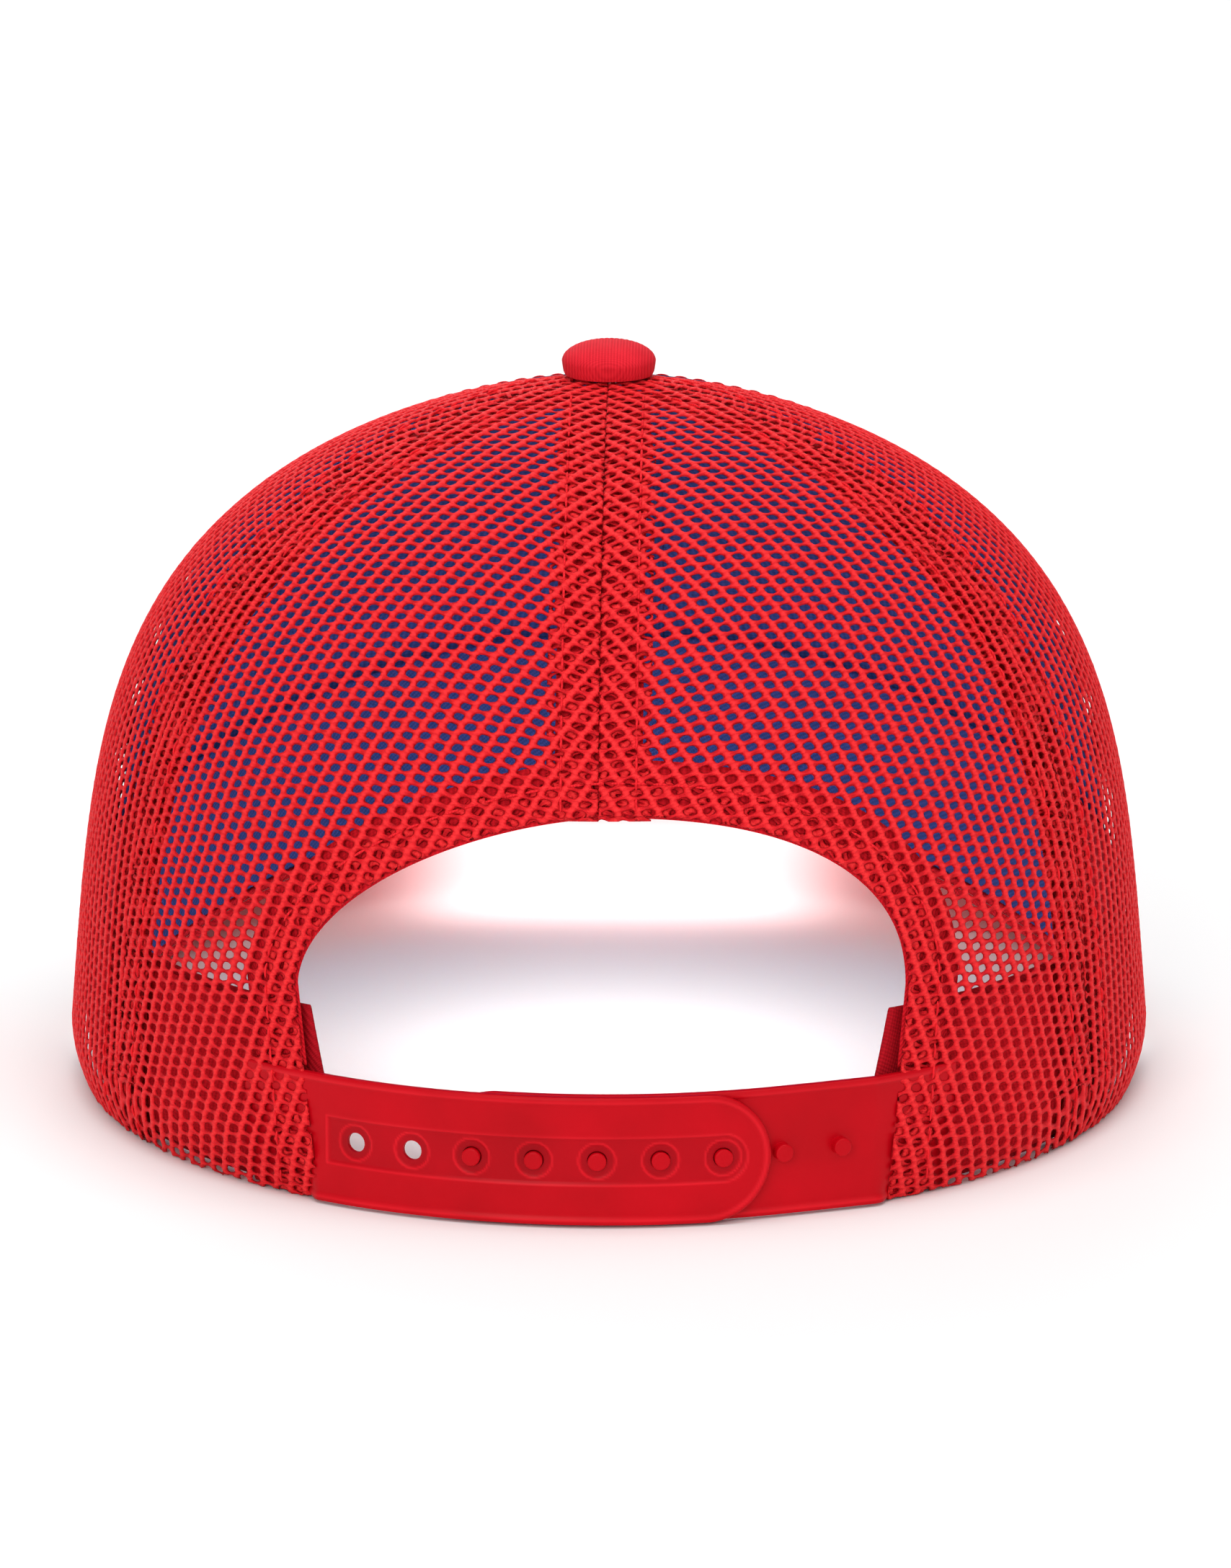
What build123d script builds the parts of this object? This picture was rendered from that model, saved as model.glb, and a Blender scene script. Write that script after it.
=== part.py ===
"""Trucker mesh cap: six crown panels, curved visor, sweatband, top button and a snap closure.

Millimetres, +Z up. The visor points to -Y and the closure to +Y, so +X is the wearer's left.
The crown's axis is x = y = 0, and the rear rim stands on z = 0.
"""
from build123d import *
from math import asin, cos, pi, radians, sin, sqrt
import os

os.makedirs("parts", exist_ok=True)

# ---------------------------------------------------------------- crown shape
crown_height = 118.8        # inside the button, above the rear rim
widest_height = 10.0        # level of the widest section
half_width = 90.4
rear_reach = 97.0           # crown axis to the back of the widest section
front_reach = 99.0          # crown axis to the forehead
rim_tuck = 2.5              # how far the rim pulls in below the widest section
# taper of the wall, then the exponents of its shoulder and of its top
side_profile = (0.10, 3.9, 1.75)
rear_profile = (0.10, 3.2, 1.8)
front_profile = (0.13, 3.6, 1.3)
section_count = 9           # loft sections above the widest one
crown_floor = -4.0          # the lofts start below every rim

# ---------------------------------------------------------------- crown layers, as insets
mesh_layer = (0.0, 0.9)
front_layer = (0.0, 1.0)
buckram_layer = (1.05, 1.7)
seam_tape_layer = (1.75, 2.15)
arch_tape_layer = (1.0, 1.4)
mesh_tape_layer = (1.45, 1.75)
tab_layer = (1.0, 2.2)
interlining_layer = (2.65, 3.05)
sweatband_layer = (3.1, 4.2)

# ---------------------------------------------------------------- seams, arch and bands
rear_seam_angle = 61.0      # side seams, measured from the centre back
front_seam_angle = 110.0
seam_tape_width = 16.0
mesh_tape_width = 14.0
stem_hole_radius = 1.8
arch_spring_height = 35.0
arch_rise = 29.8
arch_lean = 2.0             # the top of the arch leans to the wearer's right
# half width at the foot and at the spring, then the exponent of the curve over it
arch_left = (44.8, 48.8, 1.75)
arch_right = (46.2, 49.5, 2.2)
arch_steps = 8
arch_tape_width = 8.0
band_height = 31.0
band_end = 44.0             # where the sweatband stops, each side of the closure

# ---------------------------------------------------------------- visor
visor_rise = 22.2           # top of the visor at the forehead
visor_camber_radius = 195.0
visor_slope = 0.05          # fall per millimetre forward
visor_half_width = 88.0
visor_root = -22.0          # y where the visor leaves the rim
visor_tip = -170.0
visor_exponent = 2.6
visor_inner_inset = 2.4
cover_thickness = 0.6
board_thickness = 2.0
board_margin = 1.4
rim_gap = 0.45              # between the visor's top cover and the front panels
rim_blend_end = 20.0        # y where the rim is back on the table

# ---------------------------------------------------------------- closure
strap_width = 21.0
strap_thickness = 1.2
strap_bottom = 0.3
strap_radius = 82.0         # outer face of the hole strap
strap_centre_y = 14.2
strap_gap = 0.3             # between the two straps, and between strap and tab
strap_root = 44.0
tab_outer_end = 57.0
hole_strap_tip = -27.4
peg_strap_tip = 26.0
snap_pitch = 10.0
hole_numbers = range(-2, 5)
peg_numbers = range(-4, 3)
hole_radius = 1.6
peg_base_radius = 1.4
peg_tip_radius = 1.25
peg_height = 1.9
concentric_end = -28.5      # x where the peg strap leaves the common arc

# ---------------------------------------------------------------- button
button_radius = 7.8
button_height = 5.6
button_wall = 0.6
button_clearance = 0.1
rivet_radius = 1.5
rivet_washer_radius = 6.0
rivet_washer_thickness = 0.8
rivet_washer_drop = 2.2     # washer's lower face below the innermost tape


def reach(base, profile, inset, height):
    """Distance from the crown axis to the cloth in one direction, at a height."""
    taper, shoulder, top = profile
    if height <= widest_height:
        tuck = rim_tuck * ((widest_height - height) / widest_height) ** 2
        return base - inset - tuck
    rise = (height - widest_height) / (crown_height - inset - widest_height)
    return (base - inset) * (1 - taper * rise) * (1 - rise**shoulder) ** (1 / top)


def section(height, inset):
    """Half width, half length and centre y of the crown's ellipse at a height."""
    side = reach(half_width, side_profile, inset, height)
    rear = reach(rear_reach, rear_profile, inset, height)
    front = reach(front_reach, front_profile, inset, height)
    return side, (rear + front) / 2, (rear - front) / 2


def crown_dome(inset):
    """The crown as a solid, with every face moved in by inset."""
    rise = crown_height - inset - widest_height
    steps = [sin(pi / 2 * i / section_count) for i in range(1, section_count)]
    heights = [crown_floor, 3.0, widest_height]
    heights += [widest_height + rise * step for step in steps + [0.999]]
    with BuildPart() as dome:
        for height in heights:
            side, length, centre_y = section(height, inset)
            with BuildSketch(Plane.XY.offset(height)):
                with Locations((0, centre_y)):
                    Ellipse(side, length)
        loft()
    return dome.part


def visor_top(x, y):
    """Height of the visor's upper face."""
    camber = visor_camber_radius - sqrt(visor_camber_radius**2 - x**2)
    return visor_rise - camber + visor_slope * (y + front_reach)


def rim_height(y):
    """Height of the crown's lower edge, which rides up over the visor."""
    side, length, centre_y = section(widest_height, visor_inner_inset)
    at_visor = min(y, visor_root)
    x = side * sqrt(max(0.0, 1 - ((at_visor - centre_y) / length) ** 2))
    height = visor_top(x, at_visor) + rim_gap
    if y <= visor_root:
        return height
    left = min(1.0, (y - visor_root) / (rim_blend_end - visor_root))
    return height * (1 - left * left * (3 - 2 * left))


def below_rim(lift=0.0):
    """Everything under the crown's lower edge, raised by lift."""
    rear_y, front_y = 110.0, -(front_reach + 1.0)
    steps = [front_y, -90, -75, -60, -45, -30, -20, -10, 0, 10, rim_blend_end]
    with BuildPart() as cutter:
        with BuildSketch(Plane.YZ):
            with BuildLine():
                edge = Spline([(y, rim_height(max(y, -front_reach)) + lift) for y in steps])
                Polyline(edge @ 1, (rear_y, lift), (rear_y, -20), (front_y, -20), edge @ 0)
            make_face()
        extrude(amount=120, both=True)
    return cutter.part


def gore(start, end):
    """Wedge between two vertical planes through the crown axis, angles from +Y towards +X."""
    far = 220.0
    middle = (start + end) / 2
    corners = [(far * sin(radians(a)), far * cos(radians(a))) for a in (start, middle, end)]
    with BuildPart() as wedge:
        with BuildSketch(Plane.XY.offset(-10)):
            with BuildLine():
                Polyline((0, 0), *corners, close=True)
            make_face()
        extrude(amount=150)
    return wedge.part


def seam_strip(angle, width):
    """Upright slab along one seam plane, from the crown axis outwards."""
    with BuildPart() as strip:
        with BuildSketch(Plane.XY.offset(-10).rotated((0, 0, -angle))):
            with Locations((0, 60)):
                Rectangle(width, 112)
        extrude(amount=150)
    return strip.part


def arch_curve(side, way, margin):
    """Points from the spring of the arch to its top on one side; way is +1 on the wearer's left."""
    _, half_width_there, exponent = side
    reach_there = half_width_there + way * arch_lean + margin
    angles = [pi / 2 * i / arch_steps for i in range(arch_steps)]
    points = []
    for angle in angles:
        across = way * reach_there * cos(angle) ** (2 / exponent) - arch_lean
        points.append((across, arch_spring_height + (arch_rise + margin) * sin(angle) ** (2 / exponent)))
    return points + [(-arch_lean, arch_spring_height + arch_rise + margin)]


def arch_prism(margin):
    """The rear opening, grown by margin and run out backwards."""
    with BuildPart() as prism:
        with BuildSketch(Plane.XZ):
            with BuildLine():
                left = Spline(arch_curve(arch_left, 1, margin), tangents=[(0, 1), (-1, 0)])
                right = Spline(arch_curve(arch_right, -1, margin), tangents=[(0, 1), (1, 0)])
                feet = [(-arch_right[0] - margin, 0), (-arch_right[0] - margin, -10)]
                feet += [(arch_left[0] + margin, -10), (arch_left[0] + margin, 0)]
                Polyline(right @ 0, *feet, left @ 0)
            make_face()
        extrude(amount=-130)
    return prism.part


def crown_layer(layer):
    """One layer of cloth over the whole crown, cut along the rim and at the button."""
    outer, inner = layer
    with BuildPart() as cloth:
        add(crown_dome(outer))
        add(crown_dome(inner), mode=Mode.SUBTRACT)
        add(rim_cutter, mode=Mode.SUBTRACT)
        with BuildSketch(Plane.XY.offset(100)):
            Circle(stem_hole_radius)
        extrude(amount=30, mode=Mode.SUBTRACT)
    return cloth.part


def keep(piece, name):
    """Label a finished piece and write it."""
    piece.label = name
    export_step(piece, f"parts/{name}.step")


sides = (("left", 1), ("right", -1))
rim_cutter = below_rim()

# ---------------------------------------------------------------- mesh panels
mesh_cloth = crown_layer(mesh_layer)
arch_opening = arch_prism(0)

for name, sign in sides:
    with BuildPart() as rear_mesh:
        add(mesh_cloth)
        add(gore(0, sign * rear_seam_angle), mode=Mode.INTERSECT)
        add(arch_opening, mode=Mode.SUBTRACT)
    keep(rear_mesh.part, f"rear_mesh_{name}")

    with BuildPart() as side_mesh:
        add(mesh_cloth)
        add(gore(sign * rear_seam_angle, sign * front_seam_angle), mode=Mode.INTERSECT)
    keep(side_mesh.part, f"side_mesh_{name}")

# ---------------------------------------------------------------- front panels and buckram
front_cloth = crown_layer(front_layer)
buckram_cloth = crown_layer(buckram_layer)

for name, sign in sides:
    with BuildPart() as front_panel:
        add(front_cloth)
        add(gore(sign * front_seam_angle, sign * 180), mode=Mode.INTERSECT)
    keep(front_panel.part, f"front_panel_{name}")

    with BuildPart() as front_buckram:
        add(buckram_cloth)
        add(gore(sign * front_seam_angle, sign * 180), mode=Mode.INTERSECT)
    keep(front_buckram.part, f"front_buckram_{name}")

# ---------------------------------------------------------------- seam and arch tapes
front_tape = (crown_layer(seam_tape_layer), seam_tape_width, 28)
mesh_tape = (crown_layer(mesh_tape_layer), mesh_tape_width, 20)
tape_seams = (
    ("front_seam_tape", 180, front_tape),
    ("side_seam_tape_left", front_seam_angle, front_tape),
    ("side_seam_tape_right", -front_seam_angle, front_tape),
    ("rear_seam_tape", 0, mesh_tape),
    ("mesh_seam_tape_left", rear_seam_angle, mesh_tape),
    ("mesh_seam_tape_right", -rear_seam_angle, mesh_tape),
)

# near the button each tape is trimmed to a wedge, so that neighbours stay apart
for name, angle, (tape_cloth, width, half_wedge) in tape_seams:
    with BuildPart() as seam_tape:
        add(tape_cloth)
        add(seam_strip(angle, width), mode=Mode.INTERSECT)
        add(gore(angle - half_wedge, angle + half_wedge), mode=Mode.INTERSECT)
        add(arch_opening, mode=Mode.SUBTRACT)
    keep(seam_tape.part, name)

with BuildPart() as arch_tape:
    add(crown_layer(arch_tape_layer))
    add(arch_prism(arch_tape_width), mode=Mode.INTERSECT)
    add(arch_opening, mode=Mode.SUBTRACT)
    with Locations((0, 0, strap_bottom + strap_width + 0.4)):
        Box(300, 300, 60, align=(Align.CENTER, Align.CENTER, Align.MAX), mode=Mode.SUBTRACT)
keep(arch_tape.part, "arch_tape")

# ---------------------------------------------------------------- sweatband
band_floor = below_rim(0.3)
band_roof = below_rim(band_height)

for name, layer in (("sweatband", sweatband_layer), ("sweatband_interlining", interlining_layer)):
    with BuildPart() as band:
        add(crown_dome(layer[0]))
        add(crown_dome(layer[1]), mode=Mode.SUBTRACT)
        add(band_roof, mode=Mode.INTERSECT)
        add(band_floor, mode=Mode.SUBTRACT)
        with Locations((0, 80, 20)):
            Box(2 * band_end, 80, 80, mode=Mode.SUBTRACT)
    keep(band.part, name)

# ---------------------------------------------------------------- visor
def visor_outline(margin):
    """Plan of the visor, drawn in by margin along its free edge, as a tall prism."""
    wide, long = visor_half_width - margin, visor_root - visor_tip - margin
    angles = [pi * i / 16 for i in range(17)]
    edge_points = []
    for angle in angles:
        across = abs(cos(angle)) ** (2 / visor_exponent) * wide
        forward = abs(sin(angle)) ** (2 / visor_exponent) * long
        edge_points.append((across if angle < pi / 2 else -across, visor_root - forward))
    side, length, centre_y = section(widest_height, visor_inner_inset)
    with BuildPart() as prism:
        with BuildSketch(Plane.XY.offset(-20)):
            with BuildLine():
                edge = Spline(edge_points)
                Line(edge @ 1, edge @ 0)
            make_face()
            with Locations((0, centre_y)):
                Ellipse(side, length, mode=Mode.SUBTRACT)
        extrude(amount=70)
    return prism.part


def visor_slab(top_drop, bottom_drop):
    """Arched slab under the visor's upper face, between two depths."""
    start = -10.0
    crest = visor_top(0, start)
    centre = crest - visor_camber_radius
    with BuildPart() as slab:
        with BuildSketch(Plane.XZ.offset(-start)):
            with Locations((0, centre)):
                Circle(visor_camber_radius - top_drop)
                Circle(visor_camber_radius - bottom_drop, mode=Mode.SUBTRACT)
            with Locations((0, crest)):
                Rectangle(200, 100, mode=Mode.INTERSECT)
        extrude(amount=200, dir=(0, -1, -visor_slope))
    return slab.part


board_bottom = cover_thickness + board_thickness
visor_pieces = (
    ("visor_top_cover", 0.0, 0.0, cover_thickness),
    ("visor_board", board_margin, cover_thickness, board_bottom),
    ("visor_under_cover", 0.0, board_bottom, board_bottom + cover_thickness),
)

for name, margin, top_drop, bottom_drop in visor_pieces:
    with BuildPart() as visor_piece:
        add(visor_outline(margin))
        add(visor_slab(top_drop, bottom_drop), mode=Mode.INTERSECT)
    keep(visor_piece.part, name)

# ---------------------------------------------------------------- closure
strap_mid = strap_bottom + strap_width / 2
peg_face_radius = strap_radius - strap_thickness - strap_gap


def strap_window(root, tip):
    """Side view of a strap from its root to its round tip, run out backwards."""
    way = 1 if tip > root else -1
    end_centre = tip - way * strap_width / 2
    with BuildPart() as window:
        with BuildSketch(Plane.XZ):
            with Locations(((root + end_centre) / 2, strap_mid)):
                Rectangle(abs(end_centre - root), strap_width)
            with Locations((end_centre, strap_mid)):
                Circle(strap_width / 2)
        extrude(amount=-130)
    return window.part


def on_arc(number):
    """Angle of a snap position from the centre back, towards +X."""
    return number * snap_pitch / (peg_face_radius + strap_gap / 2)


# the tabs are sewn between the rear mesh and the sweatband
for name, sign in (("hole_strap_tab", 1), ("peg_strap_tab", -1)):
    with BuildPart() as tab:
        add(crown_dome(tab_layer[0]))
        add(crown_dome(tab_layer[1]), mode=Mode.SUBTRACT)
        with Locations((sign * (strap_root + tab_outer_end) / 2, 60, strap_mid)):
            Box(tab_outer_end - strap_root, 120, strap_width, mode=Mode.INTERSECT)
    keep(tab.part, name)

# outer strap, with seven holes
with BuildPart() as hole_strap:
    with BuildSketch(Plane.XY.offset(strap_bottom)):
        with Locations((0, strap_centre_y)):
            Circle(strap_radius)
            Circle(strap_radius - strap_thickness, mode=Mode.SUBTRACT)
        with Locations((0, 85)):
            Rectangle(2 * strap_root, 100, mode=Mode.INTERSECT)
    extrude(amount=strap_width)
    add(strap_window(strap_root - strap_gap, hole_strap_tip), mode=Mode.INTERSECT)
    for number in hole_numbers:
        out = (sin(on_arc(number)), cos(on_arc(number)), 0)
        middle = (strap_radius * out[0], strap_centre_y + strap_radius * out[1], strap_mid)
        with BuildSketch(Plane(origin=middle, z_dir=out)):
            Circle(hole_radius)
        extrude(amount=3, both=True, mode=Mode.SUBTRACT)
keep(hole_strap.part, "hole_strap")

# inner strap: it shares the hole strap's arc, then runs out to its tab
peg_path_radius = peg_face_radius - strap_thickness / 2
tab_side, tab_length, tab_centre_y = section(strap_mid, sum(tab_layer) / 2)
peg_root_y = tab_centre_y + tab_length * sqrt(1 - (strap_root / tab_side) ** 2)
leave_y = strap_centre_y + sqrt(peg_path_radius**2 - concentric_end**2)
tip_y = strap_centre_y + sqrt(peg_path_radius**2 - peg_strap_tip**2)

with BuildLine() as peg_path:
    shared = ThreePointArc(
        (peg_strap_tip, tip_y),
        (0, strap_centre_y + peg_path_radius),
        (concentric_end, leave_y),
    )
    TangentArc(shared @ 1, (-strap_root, peg_root_y), tangent=shared % 1)

with BuildPart() as peg_strap:
    with BuildSketch(Plane.XY.offset(strap_bottom)):
        add(peg_path.line)
        trace(line_width=strap_thickness)
    extrude(amount=strap_width)
    add(strap_window(-(strap_root - strap_gap), peg_strap_tip), mode=Mode.INTERSECT)
    tip_angle = asin(peg_strap_tip / peg_path_radius)
    for number in peg_numbers:
        way = (tip_angle - on_arc(number)) * peg_path_radius
        foot = peg_path.wire().position_at(way, position_mode=PositionMode.LENGTH)
        along = peg_path.wire().tangent_at(way, position_mode=PositionMode.LENGTH)
        peg_plane = Plane(origin=(foot.X, foot.Y, strap_mid), z_dir=(along.Y, -along.X, 0))
        with BuildSketch(peg_plane):
            Circle(peg_base_radius)
        with BuildSketch(peg_plane.offset(strap_thickness / 2 + peg_height)):
            Circle(peg_tip_radius)
        loft()
keep(peg_strap.part, "peg_strap")

# ---------------------------------------------------------------- button
def button_solid(radius, height, base):
    """Low dome with an upright edge, standing on base."""
    edge = height * 0.22
    with BuildPart() as dome:
        with BuildSketch(Plane.XZ):
            with BuildLine():
                floor = Line((0, base), (radius, base))
                wall = Line(floor @ 1, (radius, base + edge))
                crest = (0, base + height)
                top = Spline([wall @ 1, crest], tangents=[(0, 1), (-1, 0)])
                Line(top @ 1, floor @ 0)
            make_face()
        revolve(axis=Axis.Z)
    return dome.part


button_base = crown_height + button_clearance
shell_radius = button_radius - button_wall
shell_height = button_height - button_wall
cavity_radius = shell_radius - 0.45
cavity_height = shell_height - 0.45
plate_thickness = 0.8

with BuildPart() as button_cover:
    add(button_solid(button_radius, button_height, button_base))
    add(button_solid(shell_radius, shell_height, button_base), mode=Mode.SUBTRACT)
keep(button_cover.part, "button_cover")

with BuildPart() as button_shell:
    add(button_solid(shell_radius, shell_height, button_base))
    add(button_solid(cavity_radius, cavity_height, button_base), mode=Mode.SUBTRACT)
keep(button_shell.part, "button_shell")

with BuildPart() as button_plate:
    with BuildSketch(Plane.XY.offset(button_base)):
        Circle(cavity_radius)
        Circle(rivet_radius, mode=Mode.SUBTRACT)
    extrude(amount=plate_thickness)
keep(button_plate.part, "button_plate")

rivet_length = seam_tape_layer[1] + rivet_washer_drop + button_clearance + plate_thickness
rivet_base = button_base + plate_thickness - rivet_length

with BuildPart() as button_rivet:
    with BuildSketch(Plane.XY.offset(rivet_base)):
        Circle(rivet_washer_radius)
    extrude(amount=rivet_washer_thickness)
    with BuildSketch(Plane.XY.offset(rivet_base)):
        Circle(rivet_radius)
    extrude(amount=rivet_length)
    with BuildSketch(Plane.XY.offset(button_base + plate_thickness)):
        Circle(2.4)
    extrude(amount=0.9)
keep(button_rivet.part, "button_rivet")
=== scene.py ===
"""Looks of a trucker mesh cap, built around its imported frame.

Metres, +Z up. The visor points to -Y and the closure to +Y, so +X is the wearer's left.
Azimuths are measured from the centre back (+Y) towards +X.
"""
from math import cos, pi, radians, sin, sqrt

import bmesh
import bpy
import numpy as np
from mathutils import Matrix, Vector


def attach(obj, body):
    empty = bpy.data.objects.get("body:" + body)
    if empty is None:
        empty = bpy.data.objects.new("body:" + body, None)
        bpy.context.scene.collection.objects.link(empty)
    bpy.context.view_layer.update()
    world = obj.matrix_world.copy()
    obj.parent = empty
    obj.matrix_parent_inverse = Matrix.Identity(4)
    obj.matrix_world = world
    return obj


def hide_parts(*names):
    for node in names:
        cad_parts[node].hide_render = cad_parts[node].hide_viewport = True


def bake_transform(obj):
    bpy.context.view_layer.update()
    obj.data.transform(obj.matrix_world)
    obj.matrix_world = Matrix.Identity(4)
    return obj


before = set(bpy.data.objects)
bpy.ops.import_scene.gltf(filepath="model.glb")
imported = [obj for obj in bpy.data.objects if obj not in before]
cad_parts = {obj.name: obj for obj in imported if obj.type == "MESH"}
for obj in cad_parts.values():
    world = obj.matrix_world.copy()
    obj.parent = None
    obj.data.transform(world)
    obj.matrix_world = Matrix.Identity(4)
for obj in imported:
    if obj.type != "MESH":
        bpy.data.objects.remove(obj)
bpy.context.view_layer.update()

# ---------------------------------------------------------------- crown shape, as in the frame
crown_height = 0.1188
widest_height = 0.010
half_width = 0.0904
rear_reach = 0.097
front_reach = 0.099
rim_tuck = 0.0025
side_profile = (0.10, 3.9, 1.75)
rear_profile = (0.10, 3.2, 1.8)
front_profile = (0.13, 3.6, 1.3)

rear_seam = radians(61)
front_seam = radians(110)
stem_radius = 0.0018

# ---------------------------------------------------------------- arch
arch_spring = 0.035
arch_rise = 0.0298
arch_lean = 0.0020
# half width at the foot and at the spring, then the exponent of the curve over it
arch_left = (0.0448, 0.0488, 1.75)
arch_right = (0.0462, 0.0495, 2.2)
hem_width = 0.0055
hem_foot_width = 0.0068
binding_width = 0.008
binding_peek = 0.0005

# ---------------------------------------------------------------- knit
wale_pitch = 0.00288
course_pitch = 0.00195
rear_grain = radians(18)
side_grain = radians(-4)
course_skew = radians(9.5)
knit_inset = 0.00030
fold_inset = 0.00078
seam_allowance = 0.0084
knit_end_radius = 0.0042        # the knit stops under the button, clear of its stem
rear_limit = 1.2                # azimuth that the opening never reaches

# ---------------------------------------------------------------- tapes
front_tape_inset = 0.00195
front_tape_width = 0.016
mesh_tape_inset = 0.0016
mesh_tape_width = 0.014
tape_thickness = 0.0003
tape_start_arc = 0.0095         # distance from the apex, beside the button's washer
arch_tape_inset = 0.0012
arch_tape_thickness = 0.0004

# ---------------------------------------------------------------- stitches: length, gap and radius
seam_stitch = (0.0024, 0.0010, 0.00020)
front_stitch = (0.0024, 0.0010, 0.00016)
visor_stitch = (0.0026, 0.0009, 0.00022)
stitch_start_arc = 0.0125
topstitch_offset = 0.006
front_stitch_offset = 0.004

# ---------------------------------------------------------------- visor and rim
visor_rise = 0.0222
visor_camber_radius = 0.195
visor_slope = 0.05
visor_half_width = 0.088
visor_root = -0.022
visor_tip = -0.170
visor_exponent = 2.6
visor_inner_inset = 0.0024
cover_thickness = 0.0006
board_thickness = 0.0020
cover_overhang = 0.0004         # how far the covers reach past the board at the root
edge_curl = 0.0012
quilt_depth = 0.00016
rim_gap = 0.00045
rim_blend_end = 0.020
front_seat = -0.0001            # the front is sewn this deep into the visor's top cover

# ---------------------------------------------------------------- sweatband
band_height = 0.031
band_end = 0.044
band_inset = 0.00365
band_thickness = 0.0011
band_slant = 0.0044
band_lift = 0.0003
liner_inset = 0.00285
liner_thickness = 0.0004
liner_trim = 0.0012
liner_end = band_end + 0.006

# ---------------------------------------------------------------- closure
strap_width = 0.021
strap_thickness = 0.0012
strap_bottom = 0.0003
strap_radius = 0.082
strap_centre_y = 0.0142
strap_gap = 0.0003
strap_root = 0.044
tab_end = 0.057
hole_strap_tip = -0.0274
peg_strap_tip = 0.026
concentric_end = -0.0285
snap_pitch = 0.010
hole_numbers = range(-2, 5)
peg_numbers = range(-4, 3)
hole_radius = 0.0016
peg_base_radius = 0.0014
peg_head_radius = 0.00148
peg_height = 0.0019
plain_end = 0.004               # the sewn end of a strap has no raised rim
raised_rim = 0.00030
channel_half = 0.00375
channel_depth = 0.00034
ring_radius = 0.00275
ring_depth = 0.00022
strap_fillet = 0.00022
strap_grid = 0.00034

# ---------------------------------------------------------------- button
button_radius = 0.0078
button_height = 0.0056
button_base = crown_height + 0.0001
rib_pitch = 0.00085

random = np.random.default_rng(7)


# ================================================================ crown surface
def reach(base, profile, inset, height):
    """Distance from the crown axis to the cloth in one direction, at a height."""
    taper, shoulder, top = profile
    tuck = rim_tuck * (np.clip(widest_height - height, 0, None) / widest_height) ** 2
    rise = (height - widest_height) / (crown_height - inset - widest_height)
    rise = np.clip(rise, 0, 0.99999)
    return (base - inset) * (1 - taper * rise) * (1 - rise**shoulder) ** (1 / top) - tuck


def section(height, inset):
    """Half width, half length and centre y of the crown's ellipse at a height."""
    side = reach(half_width, side_profile, inset, height)
    rear = reach(rear_reach, rear_profile, inset, height)
    front = reach(front_reach, front_profile, inset, height)
    return side, (rear + front) / 2, (rear - front) / 2


def crown_radius(azimuth, height, inset):
    """Distance from the crown axis to the surface along an azimuth."""
    side, length, centre = section(height, inset)
    across, along = np.sin(azimuth), np.cos(azimuth)
    a = (across / side) ** 2 + (along / length) ** 2
    b = -2 * along * centre / length**2
    c = (centre / length) ** 2 - 1
    return (-b + np.sqrt(b * b - 4 * a * c)) / (2 * a)


def crown_point(azimuth, height, inset):
    """Points of the crown surface, stacked on the last axis."""
    radius = crown_radius(azimuth, height, inset)
    return np.stack([radius * np.sin(azimuth), radius * np.cos(azimuth), height + 0 * radius], -1)


def crown_normal(azimuth, height, inset):
    """Outward unit normals of the crown surface."""
    turn, drop = 1e-3, 1e-5
    lower = np.asarray(height) - drop
    east = crown_point(azimuth + turn, lower, inset) - crown_point(azimuth - turn, lower, inset)
    up = crown_point(azimuth, lower, inset) - crown_point(azimuth, lower - drop, inset)
    return unit(np.cross(up, east))


def azimuth_at(x, height, inset):
    """Azimuth of the rear surface point with this x."""
    side, length, centre = section(height, inset)
    y = centre + length * np.sqrt(np.clip(1 - (x / side) ** 2, 0, 1))
    return np.arctan2(x, y)


def meridian(azimuth, inset, count=900):
    """Arc length from the apex, heights and radii down one meridian."""
    top = crown_height - inset
    upper = widest_height + (top - widest_height) * np.sin(np.linspace(pi / 2, 0, count))
    heights = np.concatenate([upper, np.linspace(widest_height, -0.004, 60)[1:]])
    radii = crown_radius(azimuth, heights, inset)
    radii[0] = 0
    steps = np.hypot(np.diff(heights), np.diff(radii))
    return np.concatenate([[0], np.cumsum(steps)]), heights, radii


def visor_top(x, y):
    """Height of the visor's upper face."""
    camber = visor_camber_radius - np.sqrt(visor_camber_radius**2 - x**2)
    return visor_rise - camber + visor_slope * (y + front_reach)


def rim_height(y):
    """Height of the crown's lower edge, which rides up over the visor."""
    y = np.asarray(y, float)
    side, length, centre = section(widest_height, visor_inner_inset)
    at_visor = np.minimum(y, visor_root)
    x = side * np.sqrt(np.clip(1 - ((at_visor - centre) / length) ** 2, 0, 1))
    height = visor_top(x, at_visor) + rim_gap
    left = np.clip((y - visor_root) / (rim_blend_end - visor_root), 0, 1)
    return height * (1 - left * left * (3 - 2 * left))


def rim_at(azimuth):
    """Height of the crown's lower edge at an azimuth."""
    y = crown_radius(azimuth, widest_height, 0.0) * np.cos(azimuth)
    return rim_height(y)


def seat_on_visor(inset):
    """Lower edge of a front layer whose inner face is at this inset: it meets the visor's top cover."""
    def lower_edge(azimuth):
        radius = crown_radius(azimuth, widest_height, inset)
        return visor_top(radius * np.sin(azimuth), radius * np.cos(azimuth)) + front_seat
    return lower_edge


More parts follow.
